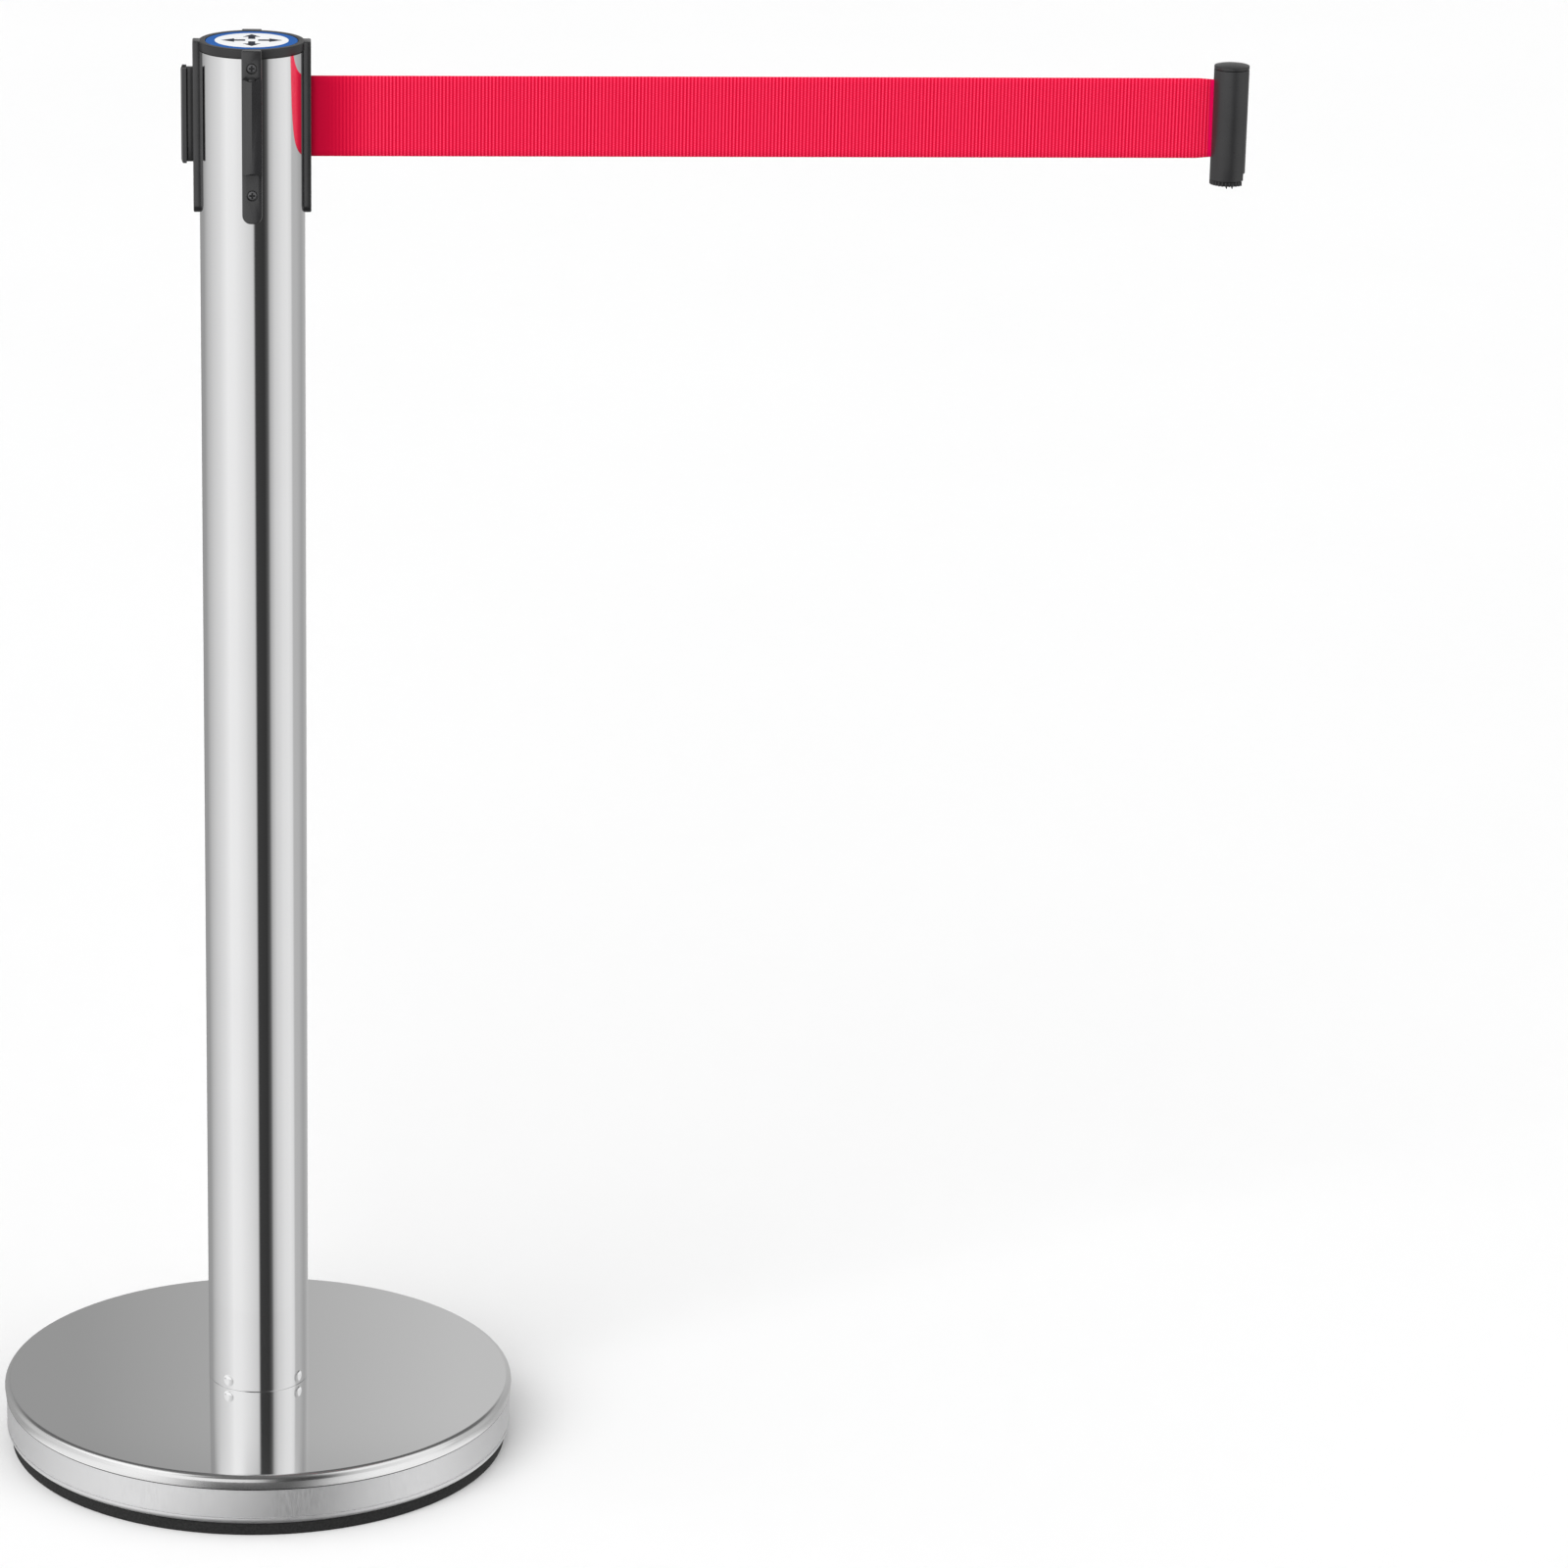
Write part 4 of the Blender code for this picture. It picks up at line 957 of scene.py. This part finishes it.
def make_belt():
    """The pulled belt, which stretches from the post to the clip, and the turns on the spool."""
    line = belt_line()
    full = BELT_TOP - BELT_BOTTOM
    taper = 0.009
    taper_start = CLIP_START - taper
    drawn_in = 0.0015
    smooth_start = CLIP_START - 0.0020

    def width_at(x):
        return full - drawn_in * min(max((x - taper_start) / taper, 0.0), 1.0)

    def end_mark(i):
        return 1.0 if line[i][0] > smooth_start else 0.0

    belt = strip("pulled_belt", line, width_at, end_mark)
    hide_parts("belt_span")
    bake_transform(belt, "stand", "belt_end", start=(RIB_FACE, 0.0, 0.0), end=(CLIP_START, 0.0, 0.0))
    # The stretch is even from the plate to the clip, so that no part of the belt bunches up
    span = CLIP_START - RIB_FACE
    for vertex, weight in zip(belt.data.vertices, belt.data.attributes["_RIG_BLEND"].data):
        weight.value = min(max((vertex.co.x - RIB_FACE) / span, 0.0), 1.0)
    line_length(line)

    turns = (WOUND_RADIUS - WOUND_BORE) / BELT_THICKNESS - 1
    per_turn = 48
    wound = []
    for i in range(int(turns * per_turn) + 1):
        angle = FULL_TURN * i / per_turn
        radius = WOUND_BORE + BELT_THICKNESS * (0.5 + i / per_turn)
        wound.append((radius * math.cos(angle), radius * math.sin(angle)))
    roll = strip("wound_belt", wound, lambda x: full)
    register(roll, "spool", "red_webbing", "belt_wound")
    line_length(wound)


# CAD nodes that keep their shape


def paint_cad_nodes():
    """Gives each CAD node that still shows a finish with grain."""
    finishes = {
        ZINC: [
            "belt_key_pin",
            "clip_belt_pin",
            "foot_plug",
            "spool_axle",
            "spring_washer",
            "tie_bolt",
            "tie_washer",
        ],
        BLACK: ["cassette_body", "cassette_lid", "spring_cup"],
        ACETAL: ["spool_core", "spool_flange", "spring_arbor"],
        SPRING_BLUE: ["axle_ring", "power_spring"],
        BRASS: ["lower_bush", "upper_bush"],
        CONCRETE: ["base_weight"],
    }
    for material, names in finishes.items():
        for name in names:
            NODES[name].data.materials.clear()
            NODES[name].data.materials.append(material)


# Studio


# Each panel is (degrees to the right of the front, brightness)
WALLS = [
    (-180, 0.41), (-177, 0.30), (-136, 0.33), (-118, 0.50), (-100, 0.62), (-76, 0.74),
    (-58, 0.88), (-40, 0.86), (-20, 0.76), (-4, 0.66), (1, 0.60), (5, 0.045),
    (25, 0.035), (32, 0.10), (38, 0.45), (48, 0.64), (66, 0.76), (82, 0.80),
    (92, 0.72), (97, 0.48), (112, 0.46), (132, 0.36), (177, 0.52), (180, 0.41),
]
UPPER_PANELS = [
    (-180, 0.10), (-125, 0.12), (-105, 1.0), (-45, 1.0), (-28, 0.10),
    (30, 0.08), (46, 0.85), (100, 0.85), (122, 0.12), (180, 0.10),
]
LOWER_PANELS = [
    (-180, 0.80), (-58, 0.88), (-47, 0.78), (-37, 0.56), (-28, 0.26), (-19, 0.09),
    (17, 0.10), (26, 0.28), (35, 0.58), (45, 0.78), (56, 0.90), (180, 0.80),
]


def make_floor():
    """A wide pale floor that curves up all round. Metal reflects the studio's walls and not the floor."""
    flat = 20.0
    curve = 8.0
    level = -0.0002
    profile = [(radius, level) for radius in (0.0, 1.0, 2.5, 8.0)]
    profile += [(flat + x, z) for x, z in arc((0.0, curve), curve, -90, 0, 24)]
    profile.append((flat + curve, 3 * curve))
    steps = 96
    columns = [at_angle(profile, FULL_TURN * step / steps) for step in range(steps)]
    pale = new_material(
        "pale_floor", (0.86, 0.86, 0.86), 0.9, mottle=0.004, patches=2.0, grains=60.0, depth=0.0
    )
    floor = mesh_object("studio_floor", *skin(columns, closed=False), pale, 60)
    floor.visible_glossy = False
    floor.visible_diffuse = False
    floor.visible_shadow = False


def panels(tree, around, list_of_panels):
    """A brightness that changes smoothly from one panel to the next. around is 0.5 at the front."""
    ramp = node(tree, "ShaderNodeValToRGB", {0: around})
    stops = ramp.color_ramp.elements
    while len(stops) < len(list_of_panels):
        stops.new(0.5)
    for stop, (degrees, brightness) in zip(stops, list_of_panels):
        stop.position = degrees / 360 + 0.5
        stop.color = (brightness, brightness, brightness, 1.0)
    return ramp.outputs[0]


def make_world():
    """Bright walls with a dark strip at the front, more panels above and below them, and a dark ground."""
    world = bpy.data.worlds.new("studio")
    bpy.context.scene.world = world
    world.use_nodes = True
    tree = world.node_tree
    split = node(tree, "ShaderNodeSeparateXYZ", {0: node(tree, "ShaderNodeTexCoord").outputs["Generated"]})
    ahead = arithmetic(tree, "MULTIPLY", split.outputs["Y"], -1.0)
    azimuth = arithmetic(tree, "ARCTAN2", split.outputs["X"], ahead)
    around = arithmetic(tree, "ADD", arithmetic(tree, "MULTIPLY", azimuth, 1 / FULL_TURN), 0.5)
    height = split.outputs["Z"]
    ceiling = (0.13, 0.13, 0.13)
    above_walls = vary_between(tree, height, 0.42, 0.56)
    tone = mix_colours(tree, above_walls, panels(tree, around, WALLS), panels(tree, around, UPPER_PANELS))
    above_lower_panels = vary_between(tree, height, -0.54, -0.48)
    tone = mix_colours(tree, above_lower_panels, panels(tree, around, LOWER_PANELS), tone)
    tone = mix_colours(tree, vary_between(tree, height, 0.84, 0.95), tone, ceiling)
    background = tree.nodes["Background"]
    tree.links.new(tone, background.inputs["Color"])
    ground = vary_between(tree, height, -0.90, -0.60, 0.12, 1.0)
    tree.links.new(ground, background.inputs["Strength"])


def add_light(name, place, strength, spread):
    """Soft light from the place's direction, left out of reflections so that metal shows only the walls."""
    lamp = bpy.data.lights.new(name, "SUN")
    lamp.energy = strength
    lamp.angle = math.radians(spread)
    light = placed(name, lamp)
    light.rotation_euler = Vector(place).to_track_quat("Z", "Y").to_euler()
    light.visible_glossy = False


def make_studio():
    """Floor, world and three soft lights."""
    make_floor()
    make_world()
    add_light("key", (-1.6, -2.8, 2.2), 2.3, 50)
    add_light("fill", (2.2, -2.6, 1.6), 0.9, 60)
    add_light("overhead", (0.0, 0.8, 3.4), 0.8, 80)


def make_camera():
    """A long lens in front of the post and above it, turned a little to the belt's side."""
    camera = placed("camera", bpy.data.cameras.new("camera"))
    camera.location = (0.0146, -3.624, 1.6017)
    yaw = math.radians(3.408)
    pitch = math.radians(18.259)
    roll = math.radians(0.84)
    aim = Vector((math.sin(yaw) * math.cos(pitch), math.cos(yaw) * math.cos(pitch), -math.sin(pitch)))
    turn = aim.to_track_quat("-Z", "Y").to_matrix().to_4x4()
    camera.rotation_mode = "QUATERNION"
    camera.rotation_quaternion = (turn @ Matrix.Rotation(roll, 4, "Z")).to_quaternion()
    camera.data.lens = 141.2
    camera.data.sensor_width = 36.0
    camera.data.shift_x = 0.10
    camera.data.shift_y = 0.03
    bpy.context.scene.camera = camera


def set_view():
    """Shows colours as they are, without a film look."""
    scene = bpy.context.scene
    scene.view_settings.view_transform = "Standard"
    scene.view_settings.look = "None"


make_base()
make_tube()
make_cap()
make_plates()
make_screws()
make_clip()
make_belt()
paint_cad_nodes()
make_studio()
make_camera()
set_view()
